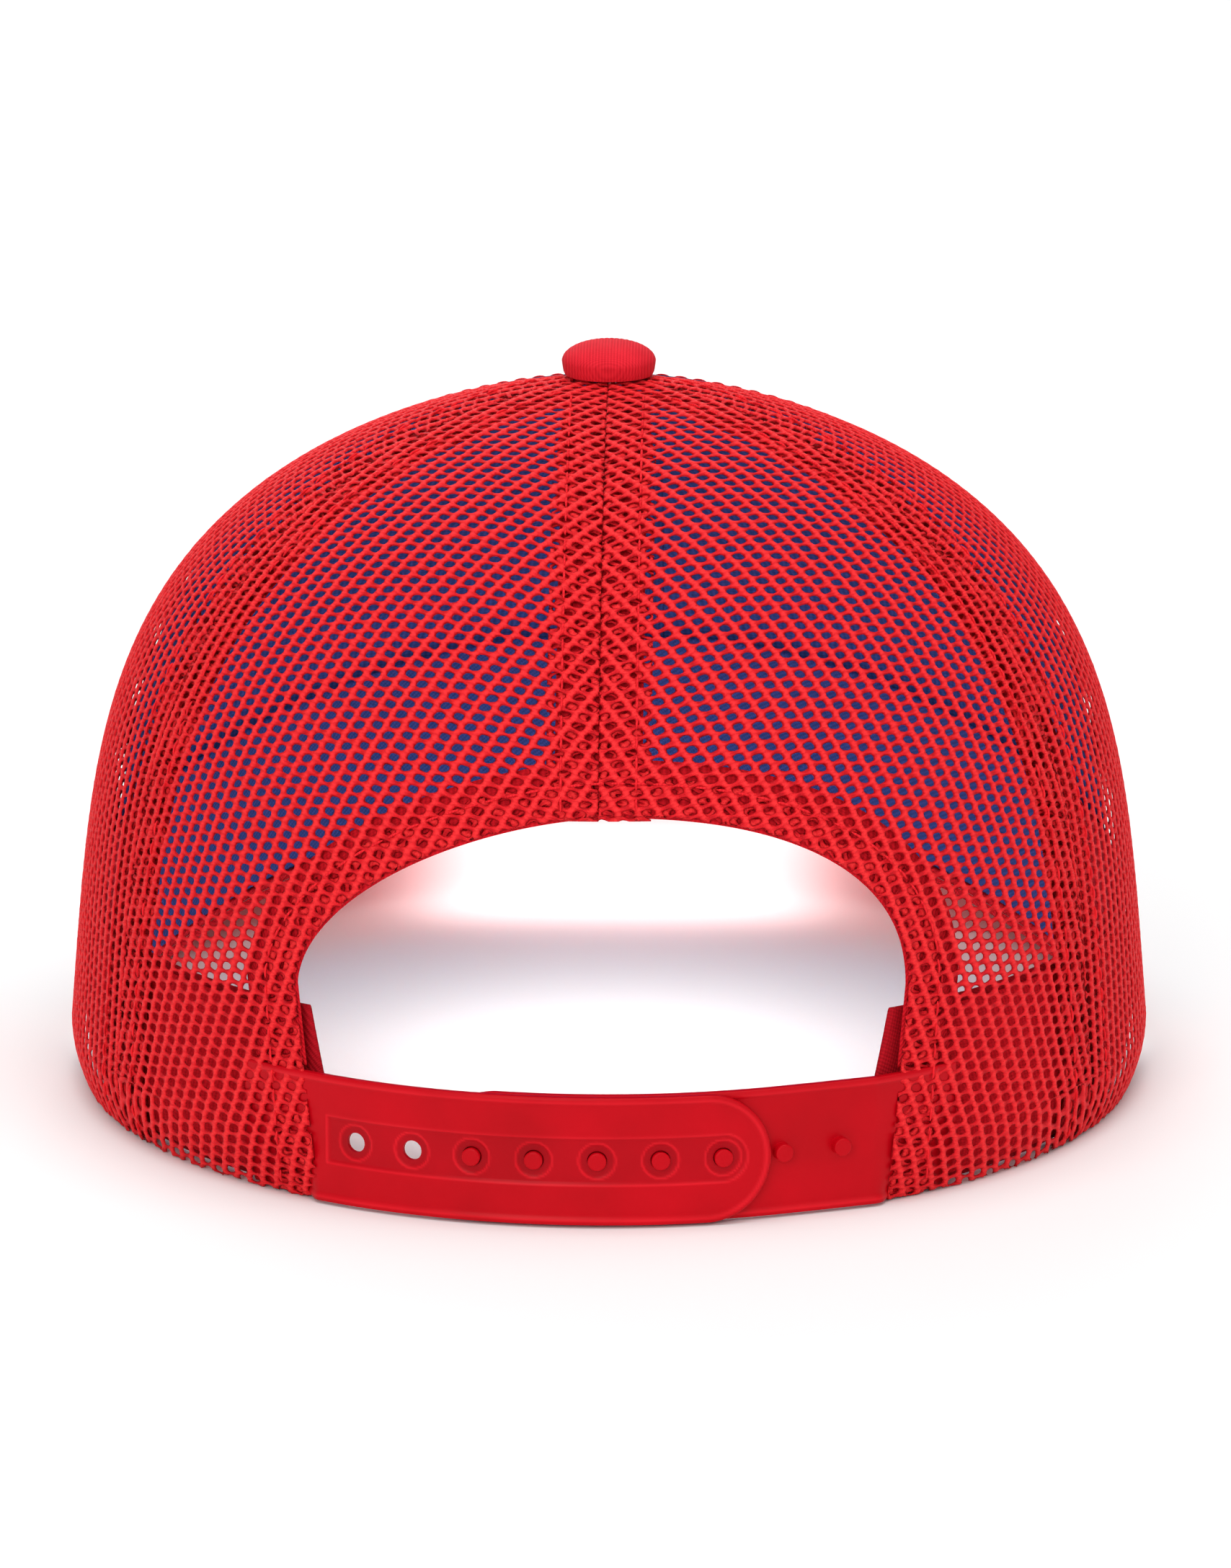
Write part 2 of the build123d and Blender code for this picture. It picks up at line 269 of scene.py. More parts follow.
# ================================================================ mesh helpers
def add_piece(name, points, faces, material, attributes):
    """A smooth mesh object from arrays, with its material and its point attributes."""
    mesh = bpy.data.meshes.new(name)
    mesh.from_pydata(points.tolist(), [], [list(f) for f in faces])
    for key, values in attributes.items():
        layer = mesh.attributes.new(key, "FLOAT_VECTOR", "POINT")
        layer.data.foreach_set("vector", np.asarray(values, np.float32).ravel())
    mesh.validate()
    mesh.materials.append(material)
    mesh.polygons.foreach_set("use_smooth", [True] * len(mesh.polygons))
    piece = bpy.data.objects.new(name, mesh)
    bpy.context.scene.collection.objects.link(piece)
    return piece


def tidy_mesh(piece, gap, turn_out=False):
    """Joins points closer than gap and drops the faces that collapse, and may turn all faces outwards."""
    work = bmesh.new()
    work.from_mesh(piece.data)
    bmesh.ops.remove_doubles(work, verts=work.verts, dist=gap)
    bmesh.ops.dissolve_degenerate(work, dist=gap / 2, edges=work.edges)
    if turn_out:
        bmesh.ops.recalc_face_normals(work, faces=work.faces)
    work.to_mesh(piece.data)
    work.free()
    piece.data.polygons.foreach_set("use_smooth", [True] * len(piece.data.polygons))


def arc_length(path):
    """Distance along a path, from 0 at its first point."""
    return np.concatenate([[0], np.cumsum(np.linalg.norm(np.diff(path, axis=0), axis=1))])


def unit(vectors):
    """Vectors of length 1 along the last axis."""
    return vectors / np.linalg.norm(vectors, axis=-1, keepdims=True)


def interpolated(at, along, path):
    """Points of a path at these distances."""
    return np.stack([np.interp(at, along, column) for column in path.T], -1)


def tube_faces(numbers):
    """Quads between rows of point numbers that run round a closed ring."""
    after = np.roll(numbers, -1, -1)
    rows = [numbers[..., :-1, :], after[..., :-1, :], after[..., 1:, :], numbers[..., 1:, :]]
    return np.stack(rows, -1).reshape(-1, 4)


def add_stitching(name, lines, material):
    """One piece for all these sewn lines, riding on the cap body."""
    points, faces = merged(lines)
    piece = add_piece(name, points, faces, cloths[material], {"cloth": points})
    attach(piece, "cap")


def stand_for(piece, *nodes):
    """Puts a piece on the cap body in place of these CAD nodes."""
    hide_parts(*nodes)
    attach(piece, "cap")


def merged(parts):
    """Joins (points, faces) pairs into one pair."""
    points, faces, start = [], [], 0
    for part_points, part_faces in parts:
        points.append(part_points)
        faces.extend([[i + start for i in face] for face in part_faces])
        start += len(part_points)
    return np.concatenate(points), faces


def spread(start, end, count, edge):
    """Evenly spaced numbers, with closer ones just inside both ends."""
    way = 1 if end > start else -1
    even = np.linspace(start + way * 2 * edge, end - way * 2 * edge, count)
    near = np.array([0, 0.12, 0.45, 1.0]) * edge * way
    return np.concatenate([start + near, even, (end - near)[::-1]])


def rounding(values, edge):
    """Share of the full thickness at each of these positions: 0 at both ends, 1 past the edge."""
    inside = np.minimum(np.abs(values - values[0]), np.abs(values[-1] - values))
    return np.sqrt(1 - (1 - np.clip(inside / edge, 0, 1)) ** 2)


def grid_faces(rows, columns, index=None):
    """Quads of a grid, as rows of point numbers."""
    numbers = np.arange(rows * columns).reshape(rows, columns) if index is None else index
    corners = [numbers[:-1, :-1], numbers[:-1, 1:], numbers[1:, 1:], numbers[1:, :-1]]
    return np.stack(corners, -1).reshape(-1, 4)


def closed_sheet(middle, normal, half, share):
    """A closed sheet round a grid of middle points. Where share is 0, its two faces meet."""
    rows, columns = share.shape
    offset = normal * (half * share)[..., None]
    count = rows * columns
    outer = np.arange(count).reshape(rows, columns)
    inner = outer + count
    closed = share <= 0
    inner[closed] = outer[closed]
    points = np.concatenate([(middle + offset).reshape(-1, 3), (middle - offset).reshape(-1, 3)])
    faces = np.concatenate([grid_faces(rows, columns), grid_faces(rows, columns, inner)[:, ::-1]])
    used = np.unique(faces)
    renumber = np.zeros(2 * count, int)
    renumber[used] = np.arange(len(used))
    return points[used], renumber[faces], used % count


def grid_lengths(middle):
    """Arc lengths along the columns and rows of a grid, and the area it covers."""
    across = np.linalg.norm(np.diff(middle, axis=1), axis=-1)
    along = np.linalg.norm(np.diff(middle, axis=0), axis=-1)
    u = np.concatenate([np.zeros((len(middle), 1)), np.cumsum(across, 1)], 1)
    v = np.concatenate([np.zeros((1, middle.shape[1])), np.cumsum(along, 0)], 0)
    side_a = middle[:-1, 1:] - middle[:-1, :-1]
    side_b = middle[1:, :-1] - middle[:-1, :-1]
    area = np.linalg.norm(np.cross(side_a, side_b), axis=-1).sum()
    return u - u.mean(1, keepdims=True), v, area


def cloth_piece(name, middle, normal, thickness, share, material, tone=0.0):
    """A sheet of cloth that stands for the CAD node of the same name. Tone picks its second colour."""
    points, faces, source = closed_sheet(middle, normal, thickness / 2, share)
    u, v, area = grid_lengths(middle)
    flat_place = np.stack([u, v, tone + 0 * u], -1).reshape(-1, 3)[source]
    piece = add_piece(name, points, faces, material, {"cloth": flat_place})
    width = max(float(np.ptp(u, axis=1).max()), 0.011)
    length = max(float(v.max()), 0.011)
    area = min(max(area, 0.31 * width * length), width * length)
    stand_for(piece, name)


def thread(path, normal, stitch, gap, radius):
    """Sewn stitches along a path: one short rounded thread each, sunk at both ends."""
    length = arc_length(path)
    starts = np.arange(gap, length[-1] - stitch, stitch + gap)
    along = np.linspace(0, 1, 6)
    swell = np.array([0.35, 0.9, 1.0, 1.0, 0.9, 0.35])
    lift = np.sin(pi * along) - 0.35
    at = starts[:, None] + along[None] * stitch
    place = interpolated(at, length, path)
    up = unit(interpolated(at, length, normal))
    ahead = unit(np.gradient(place, axis=1))
    sideways = np.cross(ahead, up)
    place = place + up * (radius * lift)[None, :, None]
    rings = []
    for angle in np.arange(6) * pi / 3:
        round_way = cos(angle) * sideways + sin(angle) * up
        rings.append(place + round_way * (radius * swell)[None, :, None])
    points = np.stack(rings, 2)
    numbers = np.arange(len(starts) * 36).reshape(len(starts), 6, 6)
    caps = np.concatenate([numbers[:, 0, ::-1], numbers[:, -1]])
    return points.reshape(-1, 3), tube_faces(numbers).tolist() + caps.tolist()


# ================================================================ arch outline
def arch_sides(sign):
    """X of the top, then the side at positive x and the side at negative x. Sign -1 mirrors the arch."""
    if sign > 0:
        return -arch_lean, arch_left, arch_right
    return arch_lean, arch_right, arch_left


def arch_side(side, way, top_x):
    """Points up one leg and over to the top. Way is +1 on the side of positive x."""
    foot, spring, exponent = side
    low = -0.004
    height = low + (arch_spring - low) * np.linspace(0, 1, 160)
    width = foot + (spring - foot) * np.clip(height, 0, None) / arch_spring
    legs = np.stack([way * width, height], -1)
    turn = np.linspace(0, pi / 2, 240)[1:]
    over = np.stack([
        top_x + way * (spring - way * top_x) * np.cos(turn) ** (2 / exponent),
        arch_spring + arch_rise * np.sin(turn) ** (2 / exponent),
    ], -1)
    return np.concatenate([legs, over])


def arch_outline(sign):
    """Points up one leg, over the top and down the other, in x and z, and their directions."""
    top_x, positive, negative = arch_sides(sign)
    first = arch_side(positive, 1, top_x)
    second = arch_side(negative, -1, top_x)
    outline = np.concatenate([first, second[-2::-1]])
    length = arc_length(outline)
    outline = interpolated(np.linspace(0, length[-1], 760), length, outline)
    return outline, unit(np.gradient(outline, axis=0))


def in_arch(x, z, sign):
    """Whether rear points lie inside the opening."""
    top_x, positive, negative = arch_sides(sign)
    past_top = x > top_x
    spring, exponent = [np.where(past_top, positive[k], negative[k]) for k in (1, 2)]
    radius = spring - np.where(past_top, 1, -1) * top_x
    rise = np.clip((z - arch_spring) / arch_rise, 0, None)
    over = (np.abs(x - top_x) / radius) ** exponent + rise**exponent
    leg_side = np.where(x > 0, *leg_widths(z, sign))
    return np.where(z <= arch_spring, np.abs(x) < leg_side, over < 1)


def leg_widths(z, sign):
    """Half widths of the opening's legs at positive and at negative x."""
    _, positive, negative = arch_sides(sign)
    share = np.clip(z, 0, None) / arch_spring
    return [side[0] + (side[1] - side[0]) * share for side in (positive, negative)]


def nearest_on_arch(x, z, sign):
    """Closest points of the opening's outline."""
    outline, ahead = arch_outline(sign)
    query = np.stack([x, z], -1)
    found = np.empty_like(query)
    for start in range(0, len(query), 4000):
        batch = query[start:start + 4000]
        gap = ((batch[:, None] - outline[None]) ** 2).sum(-1)
        index = gap.argmin(1)
        base, way = outline[index], ahead[index]
        found[start:start + 4000] = base + way * ((batch - base) * way).sum(1, keepdims=True)
    return found


# ================================================================ knit panels
corner_u, corner_near_u = 0.558, 0.442
ring_uv = np.array([
    (corner_u, 0), (corner_near_u, 0.5), (0.221, 0.5), (0, 0.5), (-0.221, 0.5), (-corner_near_u, 0.5),
    (-corner_u, 0), (-corner_near_u, -0.5), (-0.221, -0.5), (0, -0.5), (0.221, -0.5),
    (corner_near_u, -0.5),
])
ring_top = np.tile([0.40, 0.36, 0.22, 0.16, 0.22, 0.36], 2) / 1000
# share of painted highlight at each outer point: the higher the ridge there, the lighter its painted
# colour
ring_highlight_share = np.clip((ring_top * 1000 - 0.10) / 0.28, 0, 1)
ring_count = len(ring_uv)
hole_half_u, hole_half_v, hole_exponent = 0.300, 0.315, 2.5


class Panel:
    """One knit panel: its flat lattice, and the way from flat cloth to the crown."""

    def __init__(self, centre, grain, phase):
        self.centre = centre
        self.phase = phase
        arc, heights, radii = meridian(centre, knit_inset)
        self.arc, self.heights, self.radii = arc, heights, radii
        slope = np.abs(np.gradient(radii, arc))
        self.bend = slope / np.maximum(radii, 1e-4)
        course = grain - course_skew
        self.to_lattice = np.array([
            [cos(grain) / wale_pitch, -sin(grain) / wale_pitch],
            [sin(course) / course_pitch, cos(course) / course_pitch],
        ])
        self.cell_area = 1 / abs(np.linalg.det(self.to_lattice))

    def cell_centres(self):
        """Lattice places of every cell that could lie on the panel or its allowances."""
        corners = np.array([(x, y) for x in (-0.075, 0.075) for y in (0.0, 0.172)])
        limits = corners @ self.to_lattice.T
        low, high = np.floor(limits.min(0)), np.ceil(limits.max(0))
        column, row = np.meshgrid(np.arange(low[0], high[0]), np.arange(low[1], high[1]))
        column, row = column.ravel(), row.ravel()
        return np.stack([column, row + 0.5 * (column % 2)], -1)

    def on_crown(self, lattice):
        """Azimuth and height of lattice places."""
        flat = (lattice + self.phase) @ np.linalg.inv(self.to_lattice).T
        x, y = flat[..., 0], flat[..., 1]
        across, along = x.copy(), y.copy()
        for _ in range(14):
            turn = across * np.interp(along, self.arc, self.bend)
            turn = np.clip(turn, -1.2, 1.2)
            turn = np.where(np.abs(turn) < 1e-6, 1e-6, turn)
            across = x * turn / np.sin(turn)
            along = np.clip(y + across * (1 - np.cos(turn)) / turn, 0.0005, self.arc[-1] + 0.02)
        azimuth = self.centre + across / np.maximum(np.interp(along, self.arc, self.radii), 1e-4)
        beyond = np.clip(along - self.arc[-1], 0, None)
        return azimuth, np.interp(along, self.arc, self.heights) - beyond


def clear_of_arch(azimuth, height, inset, sign):
    """Moves points out of the opening, onto its edge."""
    x = crown_radius(azimuth, height, inset) * np.sin(azimuth)
    hit = in_arch(x, height, sign) & (np.abs(azimuth) < rear_limit)
    nearest = nearest_on_arch(x[hit], height[hit], sign)
    azimuth, height = azimuth.copy(), height.copy()
    azimuth[hit] = azimuth_at(nearest[:, 0], nearest[:, 1], inset)
    height[hit] = nearest[:, 1]
    return azimuth, height


def stayed(turn, rise):
    """Whether points moved by less than a thousandth of a millimetre."""
    return ~(np.abs(turn) * half_width + np.abs(rise) > 1e-6)


def main_layer(low, high, sign):
    """Cloth of the panel itself, between two seams, the rim and the opening."""
    def place(azimuth, height):
        new_azimuth = np.clip(azimuth, low, high)
        new_height = np.maximum(height, rim_at(new_azimuth))
        if low == 0:
            new_azimuth, new_height = clear_of_arch(new_azimuth, new_height, knit_inset, sign)
            new_azimuth = np.maximum(new_azimuth, 0)
        return new_azimuth, new_height, stayed(new_azimuth - azimuth, new_height - height)
    return place


def folded_seam(seam, way, lowest):
    """Seam allowance: cloth past the seam, folded back under the panel. way is +1 past high azimuths."""
    def place(azimuth, height):
        past = way * (azimuth - seam)
        radius = crown_radius(azimuth, np.clip(height, 0, crown_height - 0.001), fold_inset)
        limit = seam_allowance / np.maximum(radius, 0.004)
        new_past = np.clip(past, 0, limit)
        new_azimuth = seam - way * new_past
        new_height = np.maximum(height, np.maximum(lowest, rim_at(new_azimuth)))
        return new_azimuth, new_height, stayed(new_past - past, new_height - height)
    return place


def hem_width_at(height):
    """Width of the opening's hem, which widens towards its foot."""
    return hem_foot_width + (hem_width - hem_foot_width) * np.clip(height / arch_spring, 0, 1)


def folded_hem(sign):
    """Hem of the opening: cloth inside the opening, folded back over its edge."""
    def place(azimuth, height):
        x = crown_radius(azimuth, height, fold_inset) * np.sin(azimuth)
        inside = in_arch(x, height, sign) & (azimuth > 0) & (azimuth < rear_limit)
        nearest = nearest_on_arch(x, height, sign)
        away = np.stack([x, height], -1) - nearest
        depth = np.linalg.norm(away, axis=1)
        width = hem_width_at(height)
        share = np.where(inside, np.minimum(1, width / np.maximum(depth, 1e-6)), 0)
        target = nearest - away * share[:, None]
        new_azimuth = np.maximum(azimuth_at(target[:, 0], target[:, 1], fold_inset), 0)
        new_height = np.maximum(target[:, 1], 0)
        kept = inside & (depth < width) & (target[:, 1] > 0) & (azimuth > 0)
        return new_azimuth, new_height, kept
    return place


def scattered(share, shape):
    """Random numbers about 0, with this standard deviation and at most twice it."""
    return share * random.standard_normal(shape).clip(-2, 2)


def knit_layer(panel, place, inset, depth, ridge_scale, folded):
    """Strands of one layer of knit: points, quads and lattice attribute, for the wearer's left."""
    centres = panel.cell_centres()
    ring = centres[:, None] + ring_uv[None]
    azimuth, height = panel.on_crown(ring.reshape(-1, 2))
    new_azimuth, new_height, free = place(azimuth, height)
    free = free.reshape(-1, ring_count)
    centre_azimuth, centre_height = panel.on_crown(centres)
    clear_of_button = crown_radius(centre_azimuth, centre_height, inset) > knit_end_radius
    keep = free.any(1) & clear_of_button
    centres = centres[keep]
    cells = len(centres)

    # hole outlines, a little uneven and leaning the other way in every second wale
    angle = np.arctan2(ring_uv[:, 1] * course_pitch, ring_uv[:, 0] * wale_pitch)
    size = 1 + scattered(0.05, (cells, 2))
    shift = scattered(0.018, (cells, 2))
    flat_cos, flat_sin = np.cos(angle), np.sin(angle)
    powers = np.abs(flat_cos) ** hole_exponent + np.abs(flat_sin) ** hole_exponent
    radius = powers ** (-1 / hole_exponent)
    hole_u, hole_v = hole_half_u * radius * flat_cos, hole_half_v * radius * flat_sin
    odd = centres[:, :1] % 2 == 1
    lean = np.where(odd, 0.16, -0.10) * hole_u[None]
    taper = 1 + np.where(odd, 0.10, -0.06) * np.sign(hole_u[None])
    hole_uv = np.stack([hole_u[None] * size[:, :1], hole_v[None] * size[:, 1:] * taper + lean], -1)
    hole_uv = centres[:, None] + shift[:, None] + hole_uv
    ring = centres[:, None] + ring_uv[None]
    middle_uv = ring * 0.52 + hole_uv * 0.48

    layers = []
    for lattice in (ring, middle_uv, hole_uv):
        azimuth, height = panel.on_crown(lattice.reshape(-1, 2))
        new_azimuth, new_height, free = place(azimuth, height)
        point = crown_point(new_azimuth, new_height, inset)
        layers.append((point, crown_normal(new_azimuth, new_height, inset), free))
    (outer, outer_normal, outer_free), (mid, mid_normal, mid_free), (rim, rim_normal, rim_free) = layers
    tops = np.tile(ring_top, cells) * ridge_scale
    wave = 1 + scattered(0.10, cells * ring_count)
    key = np.round(ring.reshape(-1, 2) * 2000).astype(np.int64)
    key = key[:, 0] * 10_000_000 + key[:, 1]
    _, first, inverse = np.unique(key, return_index=True, return_inverse=True)
    rise = (tops * outer_free)[first, None]
    upper = outer[first] + outer_normal[first] * rise
    lower = outer[first] - outer_normal[first] * rise * depth
    middle = mid + mid_normal * (tops * wave * mid_free)[:, None] * 0.86
    rim_points = rim + rim_normal * (tops * rim_free)[:, None] * 0.05

    # neighbouring cells share their outer points; each cell has its own middle ring and hole
    shared = len(first)
    up = inverse.reshape(cells, ring_count)
    down = up + shared
    centre_ring = np.arange(cells * ring_count).reshape(cells, ring_count) + 2 * shared
    hole_ring = centre_ring + cells * ring_count

    def band(a, b):
        return np.stack([a, np.roll(a, -1, 1), np.roll(b, -1, 1), b], -1).reshape(-1, 4)

    underside = band(down, hole_ring)[:, ::-1]
    faces = np.concatenate([band(up, centre_ring), band(centre_ring, hole_ring), underside])
    points = np.concatenate([upper, lower, middle, rim_points])
    uv = ring.reshape(-1, 2)[first]
    uv = np.concatenate([uv, uv, middle_uv.reshape(-1, 2), hole_uv.reshape(-1, 2)])
    # painted light on the strands: highlight on the ridge tops, painted shade on the underside (0.2) and
    # darkest at the hole rims (0)
    highlight_share = np.tile(ring_highlight_share, cells)
    painted_light_share = np.concatenate([highlight_share[first], np.full(shared, 0.2), 0.75 * highlight_share, np.zeros(len(rim))])
    if folded:
        faces = faces[:, ::-1]
    area = float(rim_free.reshape(cells, ring_count).any(1).sum()) * panel.cell_area
    return points, faces, np.column_stack([uv, painted_light_share]), area


def knit_panel(name, sign, panel, layers, material):
    """A whole knit panel with its folded edges, on one side of the cap."""
    points, faces, attributes, areas = zip(*(knit_layer(panel, *layer) for layer in layers))
    starts = np.cumsum([0] + [len(layer) for layer in points[:-1]])
    faces = np.concatenate([layer + start for layer, start in zip(faces, starts)])
    points = np.concatenate(points)
    if sign < 0:
        points = points * (-1, 1, 1)
        faces = faces[:, ::-1]
    piece = add_piece(name, points, faces, material, {"knit": np.concatenate(attributes)})
    tidy_mesh(piece, 4e-6)
    stand_for(piece, name)


# ================================================================ materials
def shader(name, colour, roughness, **sockets):
    """A node material, its tree and its shader, with constant values on the shader's own sockets."""
    material = bpy.data.materials.new(name)
    material.use_nodes = True
    principled = material.node_tree.nodes["Principled BSDF"]
    principled.inputs["Base Color"].default_value = (*colour, 1)
    principled.inputs["Roughness"].default_value = roughness
    for socket, value in sockets.items():
        principled.inputs[socket.replace("_", " ")].default_value = value
    return material, material.node_tree, principled


def add_node(tree, kind, **sockets):
    """A shader node. Each named socket takes a constant value or a link from another node's output."""
    node = tree.nodes.new("ShaderNode" + kind)
    for socket, value in sockets.items():
        target = node.inputs[socket.replace("_", " ")]
        if isinstance(value, bpy.types.NodeSocket):
            tree.links.new(value, target)
        else:
            target.default_value = value
    return node


def noise(tree, scale, detail=2.0):
    """A noise texture in object space."""
    place = add_node(tree, "TexCoord").outputs["Object"]
    return add_node(tree, "TexNoise", Scale=scale, Detail=detail, Vector=place).outputs["Fac"]


def ramp(tree, factor, stops):
    """A colour ramp with these (position, colour) stops."""
    node = add_node(tree, "ValToRGB", Fac=factor)
    for k, (position, colour) in enumerate(stops):
        stop = node.color_ramp.elements[k] if k < 2 else node.color_ramp.elements.new(position)
        stop.position = position
        stop.color = (*colour, 1)
    return node.outputs["Color"]


def maths(tree, operation, first, second):
    """A math node over two sockets or numbers."""
    node = tree.nodes.new("ShaderNodeMath")
    node.operation = operation
    for k, value in enumerate((first, second)):
        if isinstance(value, (int, float)):
            node.inputs[k].default_value = value
        else:
            tree.links.new(value, node.inputs[k])
    return node.outputs["Value"]


def blend_of(tree, *terms):
    """The sum of (socket, share) terms. A share of None takes the socket as it is."""
    total = None
    for socket, share in terms:
        term = socket if share is None else maths(tree, "MULTIPLY", socket, share)
        total = term if total is None else maths(tree, "ADD", total, term)
    return total


def stripes(tree, vector, pitch, angle):
    """Sine bands across one direction of a flat vector, from 0 to 1."""
    turned = add_node(tree, "Mapping", Rotation=(0, 0, angle), Vector=vector).outputs["Vector"]
    return add_node(tree, "TexWave", Scale=2 * pi / 20 / pitch, Vector=turned).outputs["Fac"]


def attribute(tree, name):
    """The vector of a point attribute."""
    node = tree.nodes.new("ShaderNodeAttribute")
    node.attribute_name = name
    return node.outputs["Vector"]


def parts_of(tree, vector):
    """The X, Y and Z of a vector socket."""
    return add_node(tree, "SeparateXYZ", Vector=vector).outputs


def mixed(tree, factor, first, second):
    """A blend of two colour sockets."""
    node = tree.nodes.new("ShaderNodeMix")
    node.data_type = "RGBA"
    tree.links.new(factor, node.inputs["Factor"])
    tree.links.new(first, node.inputs["A"])
    tree.links.new(second, node.inputs["B"])
    return node.outputs["Result"]


def dress(tree, principled, colour, height, relief):
    """Links a colour and a bump of this relief to the shader."""
    tree.links.new(colour, principled.inputs["Base Color"])
    bump = add_node(tree, "Bump", Distance=relief, Strength=1.0, Height=height)
    tree.links.new(bump.outputs["Normal"], principled.inputs["Normal"])


def knit_material():
    """Red warp knit with looped yarn: painted shade darkens it by the holes and a painted highlight
    brightens the ridges.
    """
    material, tree, principled = shader("knit_red", (0.8, 0.03, 0.04), 0.6, Specular_IOR_Level=0.15)
    lattice = attribute(tree, "knit")
    loops = [stripes(tree, lattice, 0.5, radians(angle)) for angle in (62, 118)]
    twist = maths(tree, "MAXIMUM", *loops)
    painted_light_share = parts_of(tree, lattice)["Z"]
    factor = blend_of(tree, (painted_light_share, 0.62), (noise(tree, 900, 3), 0.30), (twist, 0.22))
    # the ramp runs from painted shade by the holes to a painted highlight on the ridges; noise and the
    # yarn loops add real tone
    stops = ((0.10, (0.34, 0.001, 0.006)), (0.50, (0.72, 0.006, 0.013)), (0.98, (0.98, 0.030, 0.034)))
    height = blend_of(tree, (twist, 0.8), (noise(tree, 4200), None))
    dress(tree, principled, ramp(tree, factor, stops), height, 0.00022)
    return material


def cloth_material(name, dark, light, pitch, angle, relief, second=None):
    """Unevenly dyed cloth with ribs at an angle in degrees. Second is the tones of its other colour."""
    material, tree, principled = shader(name, light, 0.8, Specular_IOR_Level=0.15)
    place = attribute(tree, "cloth")
    ribs = stripes(tree, place, pitch, radians(angle))
    cross = stripes(tree, place, pitch * 0.6, radians(angle) + pi / 2)
    weave = blend_of(tree, (ribs, 0.65), (cross, 0.35))
    factor = blend_of(tree, (weave, 0.6), (noise(tree, 260, 4), 0.5))
    colour = ramp(tree, factor, ((0.15, dark), (0.85, light)))
    if second:
        other = ramp(tree, factor, ((0.15, second[0]), (0.85, second[1])))
        colour = mixed(tree, parts_of(tree, place)["Z"], colour, other)
    height = blend_of(tree, (weave, None), (noise(tree, 4200), 0.35))
    dress(tree, principled, colour, height, relief)
    return material


def strap_material():
    """Satin moulded plastic: faint flow marks, painted highlights along the raised edges and painted shade
    in the recesses.
    """
    material, tree, principled = shader(
        "strap_plastic", (0.52, 0.004, 0.014), 0.36, Specular_IOR_Level=0.10
    )
    cloud = noise(tree, 70, 3)
    relief = parts_of(tree, attribute(tree, "relief"))
    body = ramp(tree, cloud, ((0.3, (0.47, 0.001, 0.006)), (0.7, (0.57, 0.001, 0.008))))
    # painted highlight colour for the raised rim and the recess edges
    edge = ramp(tree, cloud, ((0.3, (0.70, 0.007, 0.016)), (0.7, (0.84, 0.014, 0.026))))
    # painted shade colour for the channel and ring recesses
    recess_shade = ramp(tree, cloud, ((0.3, (0.30, 0.001, 0.005)), (0.7, (0.40, 0.001, 0.007))))
    # relief X mixes in the painted highlight, relief Y the painted shade
    colour = mixed(tree, relief["Y"], mixed(tree, relief["X"], body, edge), recess_shade)
    rough = add_node(tree, "MapRange", Value=cloud, To_Min=0.30, To_Max=0.44)
    tree.links.new(rough.outputs["Result"], principled.inputs["Roughness"])
    dress(tree, principled, colour, noise(tree, 2600), 0.000012)
    return material


def grained_material(name, colour, roughness, dark, light, cloud, grain, relief, **sockets):
    """A cloudy colour between two tones, and a fine grain."""
    material, tree, principled = shader(name, colour, roughness, **sockets)
    tones = ramp(tree, noise(tree, *cloud), ((0.3, dark), (0.7, light)))
    dress(tree, principled, tones, noise(tree, grain), relief)
    return material


def floor_material():
    """Pale matt studio floor."""
    material, tree, principled = shader("floor", (0.93, 0.93, 0.93), 0.9)
    tones = ramp(tree, noise(tree, 3), ((0.3, (0.925, 0.925, 0.925)), (0.7, (0.94, 0.94, 0.94))))
    tree.links.new(tones, principled.inputs["Base Color"])
    return material


navy_tones = ((0.018, 0.038, 0.160), (0.040, 0.066, 0.270))
cloths = {name: cloth_material(name, *rest) for name, *rest in (
    # name, dark, light, rib pitch, rib angle, relief, second tones
    ("front_twill", (0.006, 0.009, 0.040), (0.022, 0.033, 0.125), 0.0007, 58, 0.00010),
    ("buckram", (0.020, 0.042, 0.180), (0.044, 0.072, 0.290), 0.0011, 0, 0.00016),
    ("seam_tape", (0.014, 0.030, 0.130), (0.032, 0.054, 0.220), 0.0008, 0, 0.00010),
    ("binding", (0.46, 0.002, 0.008), (0.74, 0.006, 0.016), 0.0008, 0, 0.00010),
    # the sweatband is dark red twill, its tones darkened further as painted shade
    ("sweatband_twill", (0.32, 0.001, 0.006), (0.50, 0.003, 0.012), 0.0007, 55, 0.00010, navy_tones),
    ("interlining", (0.70, 0.004, 0.014), (0.97, 0.012, 0.028), 0.0009, 0, 0.00008),
    ("visor_twill", (0.42, 0.003, 0.010), (0.74, 0.010, 0.020), 0.0007, 58, 0.00010),
    ("button_cloth", (0.50, 0.004, 0.014), (0.80, 0.018, 0.034), 0.0005, 0, 0.00006),
    ("red_thread", (0.60, 0.004, 0.012), (0.90, 0.020, 0.028), 0.0004, 40, 0.00005),
    ("navy_thread", (0.010, 0.014, 0.060), (0.040, 0.055, 0.190), 0.0004, 40, 0.00005),
)}
knit = knit_material()
strap_plastic = strap_material()
board_plastic = grained_material(
    "visor_plastic", (0.80, 0.80, 0.78), 0.5, (0.72, 0.72, 0.702), (0.80, 0.80, 0.78),
    (120, 3), 1800, 0.00003
)
steel = grained_material(
    "button_steel", (0.62, 0.62, 0.62), 0.32, (0.5, 0.5, 0.51), (0.68, 0.68, 0.67),
    (420, 4), 3000, 0.00002, Metallic=1.0
)


